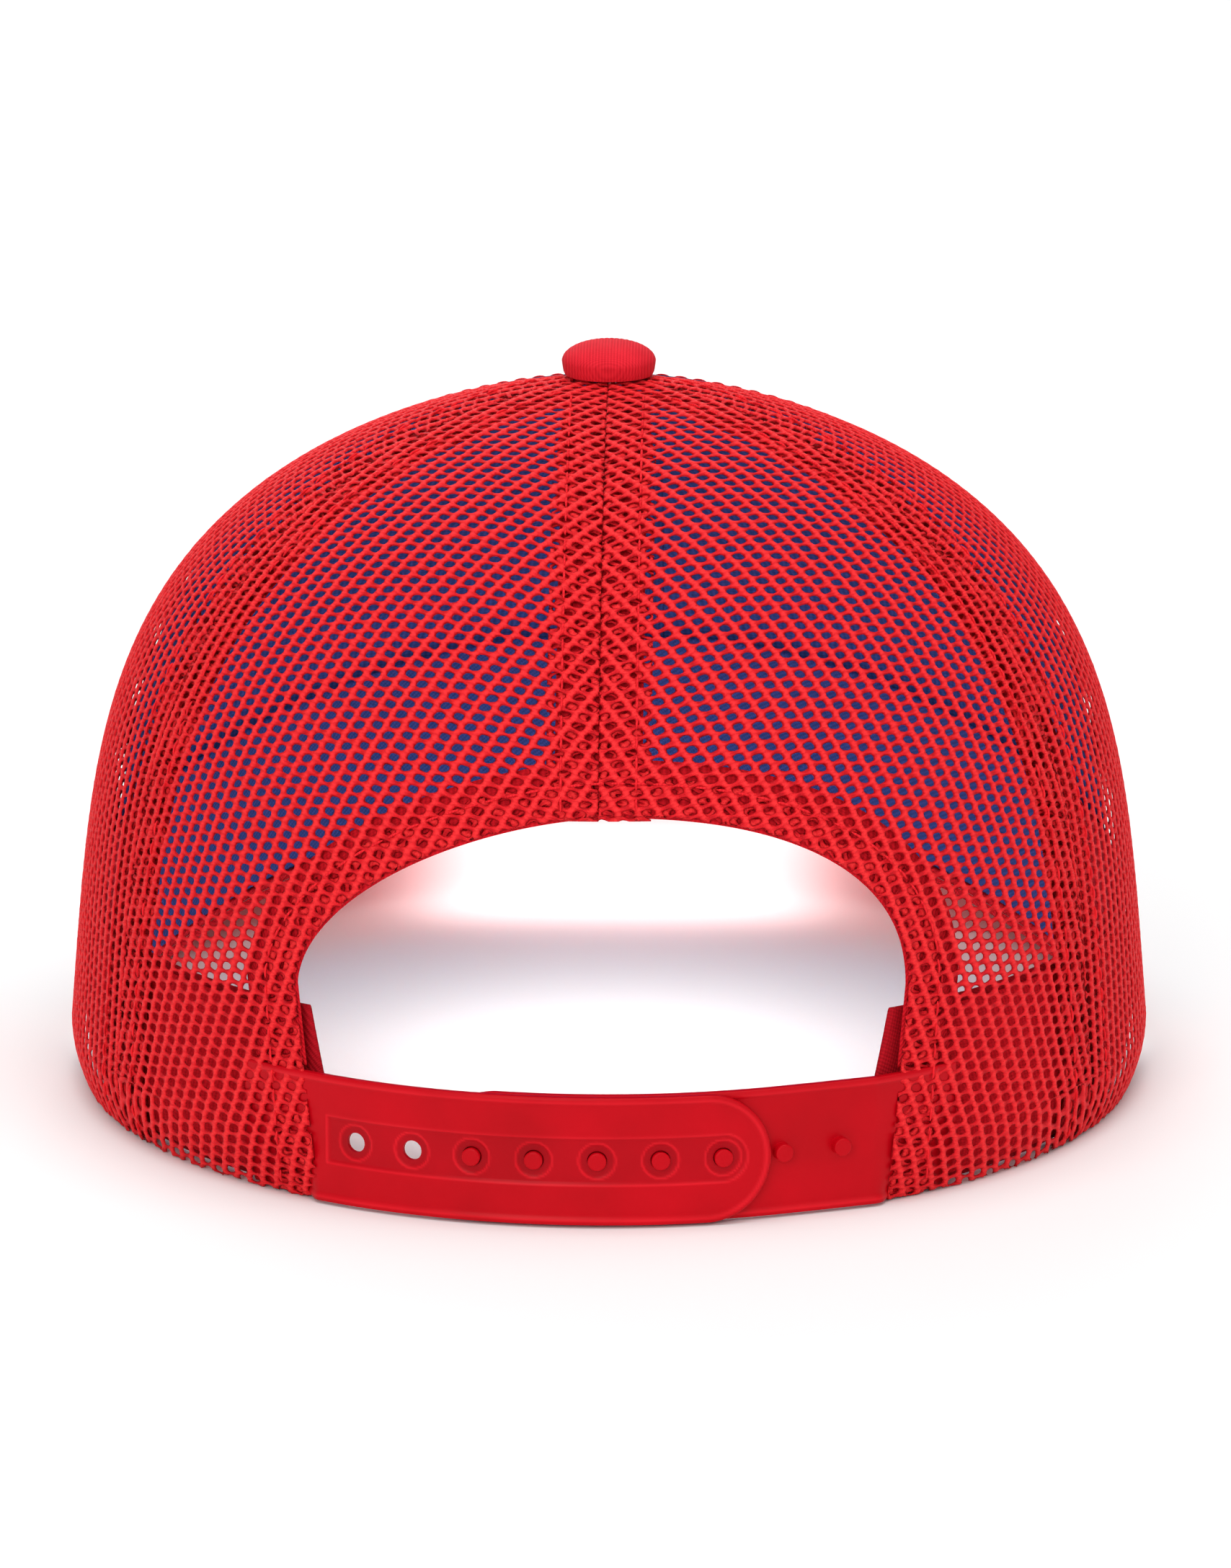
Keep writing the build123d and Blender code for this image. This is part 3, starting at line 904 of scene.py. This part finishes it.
# ================================================================ knit panels of the crown
def build_knit():
    """The four mesh panels with their folded hems and seam allowances."""
    # each layer: where its cloth goes, its inset, the depth and scale of its ridges, whether folded
    folded = (fold_inset, 0.5, 0.7, True)
    for side, sign, phase in (("left", 1, (0.15, 0.2)), ("right", -1, (-0.25, -0.15))):
        rear = Panel(rear_seam / 2, rear_grain, phase)
        rear_layers = (
            (main_layer(0, rear_seam, sign), knit_inset, 0.45, 1.0, False),
            (folded_seam(0, -1, arch_spring + arch_rise * 0.97), *folded),
            (folded_seam(rear_seam, 1, 0), *folded),
            (folded_hem(sign), *folded),
        )
        knit_panel(f"rear_mesh_{side}", sign, rear, rear_layers, knit)
        flank = Panel((rear_seam + front_seam) / 2, side_grain, phase)
        flank_layers = (
            (main_layer(rear_seam, front_seam, sign), knit_inset, 0.45, 1.0, False),
            (folded_seam(rear_seam, -1, 0), *folded),
        )
        knit_panel(f"side_mesh_{side}", sign, flank, flank_layers, knit)


# ================================================================ cloth on the crown
def crown_cloth(name, low, high, bottom_of, inset, thickness, material):
    """A cloth layer between two azimuths, from the button's stem down to each column's own height."""
    azimuths = spread(low, high, 60, 0.008)
    arc, heights, _ = meridian(pi / 2, inset)
    ends = np.interp(-bottom_of(azimuths), -heights, arc)
    middle, normals = [], []
    for azimuth, end in zip(azimuths, ends):
        levels = np.interp(spread(stem_radius, end, 90, 0.0008), arc, heights)
        middle.append(crown_point(azimuth, levels, inset))
        normals.append(crown_normal(azimuth, levels, inset))
    share = rounding(spread(0, 1, 90, 0.01), 0.01)[:, None] * rounding(azimuths, 0.008)[None]
    cloth_piece(name, np.stack(middle, 1), np.stack(normals, 1), thickness, share, material)


def seam_tape(name, azimuth, end_height, inset, width, material):
    """A straight tape along a seam plane, from beside the button down to a height."""
    arc, heights, radii = meridian(azimuth, inset)
    levels = spread(tape_start_arc, np.interp(-end_height, -heights, arc), 70, 0.0008)
    across = spread(-width / 2, width / 2, 8, 0.0006)
    angles = azimuth + across[None] / np.interp(levels, arc, radii)[:, None]
    height = np.repeat(np.interp(levels, arc, heights)[:, None], len(across), 1)
    height = np.maximum(height, np.maximum(rim_at(angles), end_height))
    middle, normals = crown_point(angles, height, inset), crown_normal(angles, height, inset)
    share = rounding(levels, 0.0008)[:, None] * rounding(across, 0.0006)[None]
    cloth_piece(name, middle, normals, tape_thickness, share, material)


def build_front():
    """Front panels, their stiffeners, and the tapes over their seams."""
    for side, sign in (("left", 1), ("right", -1)):
        low, high = sorted((sign * front_seam, sign * pi))
        # inset of the inner face, which rests on the visor, then of the middle, and the thickness
        for name, inner, inset, thickness, material, slot in (
            ("front_panel", 0.0010, 0.0005, 0.0010, "front_twill", "front_cloth"),
            ("front_buckram", 0.0017, 0.00138, 0.00065, "buckram", "buckram"),
        ):
            bottom = seat_on_visor(inner)
            crown_cloth(f"{name}_{side}", low, high, bottom, inset, thickness, cloths[material])
    for name, azimuth in (
        ("front_seam_tape", pi), ("side_seam_tape_left", front_seam), ("side_seam_tape_right", -front_seam)
    ):
        end = float(rim_at(azimuth))
        seam_tape(name, azimuth, end, front_tape_inset, front_tape_width, cloths["seam_tape"])


def build_mesh_tapes():
    """Red tapes behind the seams of the mesh panels."""
    for name, azimuth, end in (
        ("rear_seam_tape", 0, arch_spring + arch_rise + 0.0003),
        ("mesh_seam_tape_left", rear_seam, 0.0),
        ("mesh_seam_tape_right", -rear_seam, 0.0),
    ):
        seam_tape(name, azimuth, end, mesh_tape_inset, mesh_tape_width, cloths["binding"])


def build_arch_tape():
    """Binding behind the hem, showing a little past the edge of the opening."""
    outline, ahead = arch_outline(1)
    start_height = strap_bottom + strap_width + 0.0006
    over = outline[:, 1] > start_height
    outline, ahead = outline[over], ahead[over]
    across = spread(-binding_peek, binding_width, 6, 0.0004)
    x = outline[None, :, 0] + across[:, None] * ahead[None, :, 1]
    z = outline[None, :, 1] - across[:, None] * ahead[None, :, 0]
    z = np.maximum(z, start_height)
    angles = azimuth_at(x, z, arch_tape_inset)
    middle, normals = crown_point(angles, z, arch_tape_inset), crown_normal(angles, z, arch_tape_inset)
    share = rounding(across, 0.0004)[:, None] * rounding(arc_length(outline), 0.0006)[None]
    middle, normals, share = middle[:, ::-1], normals[:, ::-1], share[:, ::-1]
    cloth_piece("arch_tape", middle, normals, arch_tape_thickness, share, cloths["binding"])


def build_sweatband():
    """The sweatband and the stiff liner between it and the crown. The band's ends are cut on a slant."""
    for name, inset, thickness, material, slot, trim, end, slant in (
        ("sweatband", band_inset, band_thickness, "sweatband_twill", "sweatband_cloth",
         0.0, band_end, band_slant),
        ("sweatband_interlining", liner_inset, liner_thickness, "interlining", "interlining",
         liner_trim, liner_end, 0.0),
    ):
        share_up = spread(0, 1, 14, 0.012)
        first = float(azimuth_at(np.array(end), np.array(band_height / 2), inset))
        azimuths = spread(first, 2 * pi - first, 190, 0.012)
        floor = rim_at(azimuths) + band_lift + trim
        height = floor[None] + (band_height - band_lift - 2 * trim) * share_up[:, None]
        angles = np.repeat(azimuths[None], len(share_up), 0)
        cut = slant * np.clip((height - 0.019) / 0.013, 0, 1) / rear_reach
        from_end = np.minimum(angles - first, 2 * pi - first - angles)
        way = np.where(angles < pi, 1, -1)
        angles = angles + way * cut * np.clip(1 - from_end / 0.25, 0, 1)
        middle, normals = crown_point(angles, height, inset), crown_normal(angles, height, inset)
        share = rounding(share_up, 0.02)[:, None] * rounding(azimuths, 0.010)[None]
        behind_front = (np.cos(angles) < cos(front_seam)).astype(float)
        cloth_piece(name, middle, normals, thickness, share, cloths[material], behind_front)


# ================================================================ visor
def visor_grid(rows, columns, inner_inset=visor_inner_inset):
    """Plan points of the visor from the crown outwards, and their distance share."""
    turn = np.linspace(0, pi, columns)
    long = visor_root - visor_tip
    outer_x = np.sign(np.cos(turn)) * np.abs(np.cos(turn)) ** (2 / visor_exponent) * visor_half_width
    outer_y = visor_root - np.abs(np.sin(turn)) ** (2 / visor_exponent) * long
    side, length, centre = section(widest_height, inner_inset)
    start = np.arccos((visor_root - centre) / length)
    inner_turn = np.linspace(start, 2 * pi - start, columns)
    inner_x, inner_y = side * np.sin(inner_turn), centre + length * np.cos(inner_turn)
    part = spread(0, 1, rows, 0.006)
    x = inner_x[None] + (outer_x - inner_x)[None] * part[:, None]
    y = inner_y[None] + (outer_y - inner_y)[None] * part[:, None]
    return x, y, part


def visor_cover(name, drop, curl):
    """One cover of the visor. Both its edges curl towards the other cover and close over the board."""
    x, y, part = visor_grid(56, 150, visor_inner_inset + cover_overhang)
    from_edge, from_root = (1 - part)[:, None] * 0.07, part[:, None] * 0.07
    hook = curl * np.clip(1 - from_edge / 0.0016, 0, 1) ** 2
    hook = hook + np.sign(curl) * board_thickness * 0.46 * (from_root < 0.00025)
    quilt = quilt_depth * np.cos(2 * pi * np.clip(part * 9, 0, 8.5))[:, None] ** 8
    z = visor_top(x, y) - drop + hook + np.sign(curl) * quilt
    middle = np.stack([x, y, z], -1)
    normals = unit(np.cross(np.gradient(middle, axis=1), np.gradient(middle, axis=0)))
    normals = np.where(normals[..., 2:] < 0, -normals, normals)
    share = rounding(part, 0.006)[:, None] * rounding(np.linspace(0, 1, x.shape[1]), 0.007)[None]
    cloth_piece(name, middle, normals, cover_thickness, share, cloths["visor_twill"])


def build_visor():
    """Both covers, and eight rows of topstitching on the outer face of each."""
    visor_cover("visor_top_cover", cover_thickness / 2, -edge_curl)
    visor_cover("visor_under_cover", cover_thickness * 1.5 + board_thickness, edge_curl)
    x, y, _ = visor_grid(40, 240)
    crown_line, edge_line = np.stack([x[0], y[0]], -1), np.stack([x[-1], y[-1]], -1)
    lift = 0.00005
    lines = []
    for number in range(1, 9):
        row = crown_line + (edge_line - crown_line) * (number / 9 + 0.02)
        row = row[6:-6]
        for drop, way in ((-lift, 1.0), (2 * cover_thickness + board_thickness + lift, -1.0)):
            path = np.column_stack([row, visor_top(row[:, 0], row[:, 1]) - drop])
            lines.append(thread(path, np.tile((0.0, 0.0, way), (len(path), 1)), *visor_stitch))
    add_stitching("visor_stitching", lines, "red_thread")


# ================================================================ closure
def outlined_grid(distance, low, high, spacing):
    """Grid cells where distance is positive, with the outer points drawn onto its zero line."""
    xs = np.arange(low[0], high[0] + spacing, spacing)
    ys = np.arange(low[1], high[1] + spacing, spacing)
    points = np.stack(np.meshgrid(xs, ys, indexing="ij"), -1)
    faces = grid_faces(len(xs), len(ys))
    points = points.reshape(-1, 2)
    inside = distance(points) > 0
    faces = faces[inside[faces].any(1)]
    step = 1e-7
    for _ in range(3):
        value = distance(points)
        slope = np.stack([
            distance(points + (step, 0)) - distance(points - (step, 0)),
            distance(points + (0, step)) - distance(points - (0, step)),
        ], -1) / (2 * step)
        points = np.where(inside[:, None], points, points - value[:, None] * slope)
    used = np.unique(faces)
    renumber = np.zeros(len(points), int)
    renumber[used] = np.arange(len(used))
    return points[used], renumber[faces]


def border_edges(faces):
    """Directed edges that only one face has."""
    edges = np.concatenate([faces[:, [k, (k + 1) % 4]] for k in range(4)])
    edges = edges[edges[:, 0] != edges[:, 1]]
    code = edges.min(1) * 1_000_000 + edges.max(1)
    _, first, count = np.unique(code, return_index=True, return_counts=True)
    return edges[first[count == 1]]


def smooth_step(value, low, high):
    """0 below low, 1 above high, smooth between."""
    share = np.clip((value - low) / (high - low), 0, 1)
    return share * share * (3 - 2 * share)


def strap_path(mid_radius, tip, sign, leave=None):
    """Middle line of a strap in plan, from its tip, round its arc, and along the crown to its sewn end."""
    centre = np.array([0.0, strap_centre_y])
    stop = leave if leave is not None else sign * strap_root
    start_angle, stop_angle = np.arcsin(tip / mid_radius), np.arcsin(stop / mid_radius)
    angles = np.linspace(start_angle, stop_angle, 220)
    arc = centre + mid_radius * np.stack([np.sin(angles), np.cos(angles)], -1)
    runs = [arc]
    side, length, centre_y = section(strap_bottom + strap_width / 2, 0.0016)
    if leave is not None:
        root = np.array([sign * strap_root, centre_y + length * sqrt(1 - (strap_root / side) ** 2)])
        out_way = (arc[-1] - centre) / mid_radius
        chord = root - arc[-1]
        radius = chord @ chord / (-2 * chord @ out_way)
        middle = arc[-1] - out_way * radius
        turn = 2 * np.arcsin(np.linalg.norm(chord) / 2 / radius)
        begin = np.arctan2(out_way[0], out_way[1])
        angles = np.linspace(begin, begin + sign * turn, 60)[1:]
        runs.append(middle + radius * np.stack([np.sin(angles), np.cos(angles)], -1))
    x = np.linspace(sign * strap_root, sign * tab_end, 60)[1:]
    y = centre_y + length * np.sqrt(1 - (x / side) ** 2)
    runs.append(np.stack([x, y], -1))
    return np.concatenate(runs)


def bend_strap(path, flat, height):
    """Places flat strap points (along, up) and their heights off the middle line in the world."""
    arc = arc_length(path)
    ahead = np.gradient(path, axis=0)
    for _ in range(6):
        ahead[1:-1] = (ahead[:-2] + 2 * ahead[1:-1] + ahead[2:]) / 4
    ahead = unit(ahead)
    place, way = interpolated(flat[:, 0], arc, path), interpolated(flat[:, 0], arc, ahead)
    out_way = np.stack([way[:, 1], -way[:, 0]], -1)
    out_way = np.where(out_way[:, 1:] < 0, -out_way, out_way)
    z = strap_bottom + flat[:, 1]
    tuck = rim_tuck * (np.clip(widest_height - z, 0, None) / widest_height) ** 2
    sewn = smooth_step(np.abs(place[:, 0]), strap_root + 0.0005, strap_root + 0.004)
    return np.column_stack([place + out_way * (height - tuck * sewn)[:, None], z])


def strap_plate(path, snaps, holed):
    """The moulded strip and its relief. The holed strap has a channel, ring recesses and holes."""
    half = strap_width / 2
    length = arc_length(path)[-1]
    snaps = np.array(snaps)

    def edge_distance(p):
        past = np.hypot(np.minimum(p[:, 0] - half, 0), p[:, 1] - half)
        return np.minimum(np.minimum(half - past, length - p[:, 0]), half - np.abs(p[:, 1] - half))

    def snap_distance(p):
        return np.hypot(p[:, :1] - snaps[None], p[:, 1:] - half).min(1)

    def outline(p):
        return np.minimum(edge_distance(p), snap_distance(p) - hole_radius) if holed else edge_distance(p)

    margin = 0.0006
    corner = (length + margin, strap_width + margin)
    flat, faces = outlined_grid(outline, (-margin, -margin), corner, strap_grid)
    edge = edge_distance(flat)
    in_ring = ring_radius - snap_distance(flat)
    past_first = np.minimum(flat[:, 0] - snaps.min(), 0)
    in_channel = channel_half - np.hypot(past_first, flat[:, 1] - half)
    in_channel = np.minimum(in_channel, snaps.max() + 0.005 - flat[:, 0])
    near_end = flat[:, 0] > length - plain_end
    moulded = 1.0 if holed else 0.0

    off_rim = np.where(near_end, 1, smooth_step(edge, 0.0009, 0.0013))
    recess = moulded * channel_depth * smooth_step(in_channel, -0.00012, 0.00018)
    ring = moulded * ring_depth * smooth_step(in_ring, -0.0001, 0.00014)
    fillet = strap_fillet * (1 - np.sqrt(1 - (1 - np.clip(edge / strap_fillet, 0, 1)) ** 2))
    top = strap_thickness / 2 + raised_rim * (1 - off_rim) - recess - ring - fillet
    bottom = -strap_thickness / 2 + fillet

    # painted light for the strap: highlight lines along the raised rim and the recess edges go in X,
    # painted shade inside the channel and ring recesses goes in Y
    recess_edge_highlight = np.maximum(bell(in_channel, -0.0002, 0.00030), bell(in_ring, -0.0002, 0.00030))
    lines = np.maximum(bell(edge, 0.0008, 0.00045) * ~near_end, moulded * recess_edge_highlight)
    inside = 0.40 * smooth_step(in_channel, 0, 0.0002) + 0.40 * smooth_step(in_ring, 0.0, 0.0003)
    relief = np.column_stack([0.7 * lines, np.clip(moulded * inside - lines, 0, 1), 0 * inside])

    count = len(flat)
    rim = border_edges(faces)
    walls = np.stack([rim[:, 1], rim[:, 0], rim[:, 0] + count, rim[:, 1] + count], -1)
    points = np.concatenate([bend_strap(path, flat, top), bend_strap(path, flat, bottom)])
    faces = np.concatenate([faces, faces[:, ::-1] + count, walls])
    return points, faces, np.concatenate([relief, 0 * relief])


def bell(value, centre, width):
    """1 at the centre, falling smoothly to 0 a width away."""
    return np.clip(1 - ((value - centre) / width) ** 2, 0, 1) ** 2


def peg(path, along):
    """A snap peg with a small foot and a slightly wider, rounded head."""
    foot, head, top = peg_base_radius, peg_head_radius, peg_height
    profile = (
        (foot + 0.00025, -0.0002), (foot + 0.0001, 0.0), (foot, 0.0002), (foot, 0.0008),
        (head, top - 0.0005), (head, top - 0.00025), (head - 0.00005, top - 0.00012),
        (head - 0.00016, top - 0.00003), (head - 0.0003, top), (0.0004, top - 0.00004),
        (0.00005, top - 0.00005),
    )
    angles = np.linspace(0, 2 * pi, 24, endpoint=False)
    rings = []
    for radius, height in profile:
        flat = np.stack([along + radius * np.cos(angles), strap_width / 2 + radius * np.sin(angles)], -1)
        rings.append(bend_strap(path, flat, np.full(24, strap_thickness / 2 + height)))
    numbers = np.arange(24 * len(profile)).reshape(len(profile), 24)
    return np.concatenate(rings), tube_faces(numbers).tolist() + [numbers[-1].tolist()]


def build_straps():
    """Both closure straps, each one moulding from its sewn end to its round tip."""
    face_radius = strap_radius - strap_thickness - strap_gap
    joint_radius = face_radius + strap_gap / 2

    mid_radius = strap_radius - strap_thickness / 2
    path = strap_path(mid_radius, hole_strap_tip, 1)
    tip_angle = np.arcsin(hole_strap_tip / mid_radius)
    holes = [(number * snap_pitch / joint_radius - tip_angle) * mid_radius for number in hole_numbers]
    add_strap("outer_snap_strap", "hole_strap", 1, *strap_plate(path, holes, True))

    mid_radius = face_radius - strap_thickness / 2
    path = strap_path(mid_radius, peg_strap_tip, -1, leave=concentric_end)
    tip_angle = np.arcsin(peg_strap_tip / mid_radius)
    seats = [(tip_angle - number * snap_pitch / joint_radius) * mid_radius for number in peg_numbers]
    plate_points, plate_faces, relief = strap_plate(path, seats, False)
    points, faces = merged([(plate_points, plate_faces)] + [peg(path, seat) for seat in seats])
    relief = np.concatenate([relief, np.zeros((len(points) - len(relief), 3))])
    add_strap("inner_snap_strap", "peg_strap", -1, points, faces, relief)


def add_strap(name, node, sign, points, faces, relief):
    """A strap in place of its CAD node and tab, smooth on gentle slopes, that bends beside its tab."""
    strap = add_piece(name, points, faces, strap_plastic, {"relief": relief})
    tidy_mesh(strap, 2e-6, turn_out=True)
    strap.data.set_sharp_from_angle(angle=radians(50))
    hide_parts(node, f"{node}_tab")
    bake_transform(strap)


# ================================================================ button
def build_button():
    """Ribbed cloth cover of the button; the metal inside stays as the frame has it."""
    rings, turns = 44, 300
    edge = button_height * 0.40
    share, lean = np.linspace(0, 1, rings), np.linspace(0, pi / 2, rings)
    under = np.array([0.75, 0.5, 0.25, 0.0])
    radius = button_radius * np.concatenate([np.sin(lean) ** 0.90, 0.935 + 0.065 * under**0.5])
    height = np.concatenate([edge + (button_height - edge) * np.cos(lean) ** 1.05, edge * under])
    fade = np.concatenate([np.clip(1.3 - share, 0.25, 1), 0.25 * under])[:, None]
    angle = np.linspace(0, 2 * pi, turns, endpoint=False)
    x, y = radius[:, None] * np.sin(angle)[None], radius[:, None] * np.cos(angle)[None]
    z = np.repeat(height[:, None], turns, 1) + button_base
    out_way = unit(np.stack([x, y, (z - button_base - edge) * 2.2], -1))
    rib = 0.00007 * (np.abs(np.sin(pi * x / rib_pitch)) - 0.5)
    points = (np.stack([x, y, z], -1) + out_way * (rib * fade)[..., None]).reshape(-1, 3)
    numbers = np.arange(len(points)).reshape(len(radius), turns)
    faces = tube_faces(numbers)[:, ::-1].tolist()
    cloth = {"cloth": np.stack([x, y, 0 * x], -1).reshape(-1, 3)}
    piece = add_piece("button_cover", points, faces, cloths["button_cloth"], cloth)
    tidy_mesh(piece, 1e-6)
    stand_for(piece, "button_cover")


# ================================================================ topstitching
def seam_thread(azimuth, offset, start_arc, end_height, inset, stitch):
    """Stitches at a constant distance from a seam."""
    arc, heights, radii = meridian(azimuth, inset)
    levels = np.linspace(start_arc, np.interp(-end_height, -heights, arc), 300)
    height, radius = np.interp(levels, arc, heights), np.interp(levels, arc, radii)
    angles = azimuth + offset / radius
    return thread(crown_point(angles, height, inset), crown_normal(angles, height, inset), *stitch)


def build_topstitching():
    """Red thread on the mesh, the front's side seams and the arch hem, navy on the centre front seam."""
    red = []
    proud = -0.00010
    arch_top = arch_spring + arch_rise + 0.0005
    for way in (-1, 1):
        for azimuth, end in ((0.0, arch_top), (-rear_seam, 0.001), (rear_seam, 0.001)):
            offset = way * topstitch_offset
            red.append(seam_thread(azimuth, offset, stitch_start_arc, end, proud, seam_stitch))

    def front_line(azimuth, way):
        offset, end = way * front_stitch_offset, float(rim_at(azimuth)) + 0.001
        return seam_thread(azimuth, offset, 0.011, end, -0.00004, front_stitch)

    red += [front_line(front_seam, 1), front_line(-front_seam, -1)]
    outline, ahead = arch_outline(1)
    over = outline[:, 1] > 0.0015
    outline, ahead = outline[over], ahead[over]
    width = hem_width_at(outline[:, 1]) - 0.0006
    line = outline + np.stack([ahead[:, 1], -ahead[:, 0]], -1) * width[:, None]
    angles = azimuth_at(line[:, 0], line[:, 1], proud)
    path, normal = crown_point(angles, line[:, 1], proud), crown_normal(angles, line[:, 1], proud)
    red.append(thread(path, normal, *seam_stitch))
    add_stitching("mesh_topstitching", red, "red_thread")
    navy = [front_line(pi, -1), front_line(pi, 1)]
    add_stitching("front_topstitching", navy, "navy_thread")


# ================================================================ stage
def add_lamp(name, place, aim, energy, size):
    """A soft square lamp."""
    lamp = bpy.data.lights.new(name, "AREA")
    lamp.energy = energy
    lamp.size = size
    holder = bpy.data.objects.new(name, lamp)
    holder.location = place
    holder.rotation_euler = aim.to_track_quat("-Z", "Y").to_euler()
    bpy.context.scene.collection.objects.link(holder)
    return lamp


def build_stage():
    """Pale floor, soft lights and the camera behind the cap."""
    bpy.ops.mesh.primitive_plane_add(size=24, location=(0, 0, -0.0002))
    floor = bpy.context.object
    floor.name = "floor"
    floor.data.materials.append(floor_material())

    world = bpy.data.worlds.new("studio")
    bpy.context.scene.world = world
    world.use_nodes = True
    background = world.node_tree.nodes["Background"]
    background.inputs["Color"].default_value = (1, 1, 1, 1)
    background.inputs["Strength"].default_value = 0.45

    lights = (
        ("key", (0.5, 1.75, 0.85), 12, 0.9),
        ("fill", (-1.1, 1.5, 0.9), 4, 1.0),
        ("top", (-0.1, 0.1, 1.7), 17, 1.4),
        ("front", (0.4, -1.6, 1.0), 9, 1.2),
    )
    for name, place, energy, size in lights:
        add_lamp(name, Vector(place), Vector((0, 0, 0.05)) - Vector(place), energy, size)
    inside = add_lamp("inside", Vector((0, 0.020, 0.088)), Vector((0, -0.5, -1)), 0.055, 0.05)
    inside.spread = radians(112)
    add_lamp("under_visor", Vector((0, -0.131, 0.0118)), Vector((0, 0.0001, -1)), 0.022, 0.07)

    target = Vector((-0.0011, 0, 0.0487))
    elevation, turn, distance = radians(14), radians(-1.1), 1.595
    away = Vector((sin(turn) * cos(elevation), cos(turn) * cos(elevation), sin(elevation)))
    camera_data = bpy.data.cameras.new("camera")
    camera_data.sensor_width = 36
    camera_data.lens = 218.4
    camera_data.clip_start = 0.1
    camera_data.clip_end = 100
    camera = bpy.data.objects.new("camera", camera_data)
    camera.location = target + away * distance
    camera.rotation_euler = (-away).to_track_quat("-Z", "Y").to_euler()
    bpy.context.scene.collection.objects.link(camera)
    bpy.context.scene.camera = camera
    bpy.context.scene.view_settings.view_transform = "Standard"


def dress_frame():
    """Materials of the CAD nodes that stay: the visor board and the metal of the button."""
    for node, material in (
        ("visor_board", board_plastic), ("button_shell", steel),
        ("button_plate", steel), ("button_rivet", steel),
    ):
        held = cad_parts[node]
        held.data.materials.clear()
        held.data.materials.append(material)


build_stage()
build_knit()
build_front()
build_arch_tape()
build_mesh_tapes()
build_sweatband()
build_visor()
build_straps()
build_button()
build_topstitching()
dress_frame()
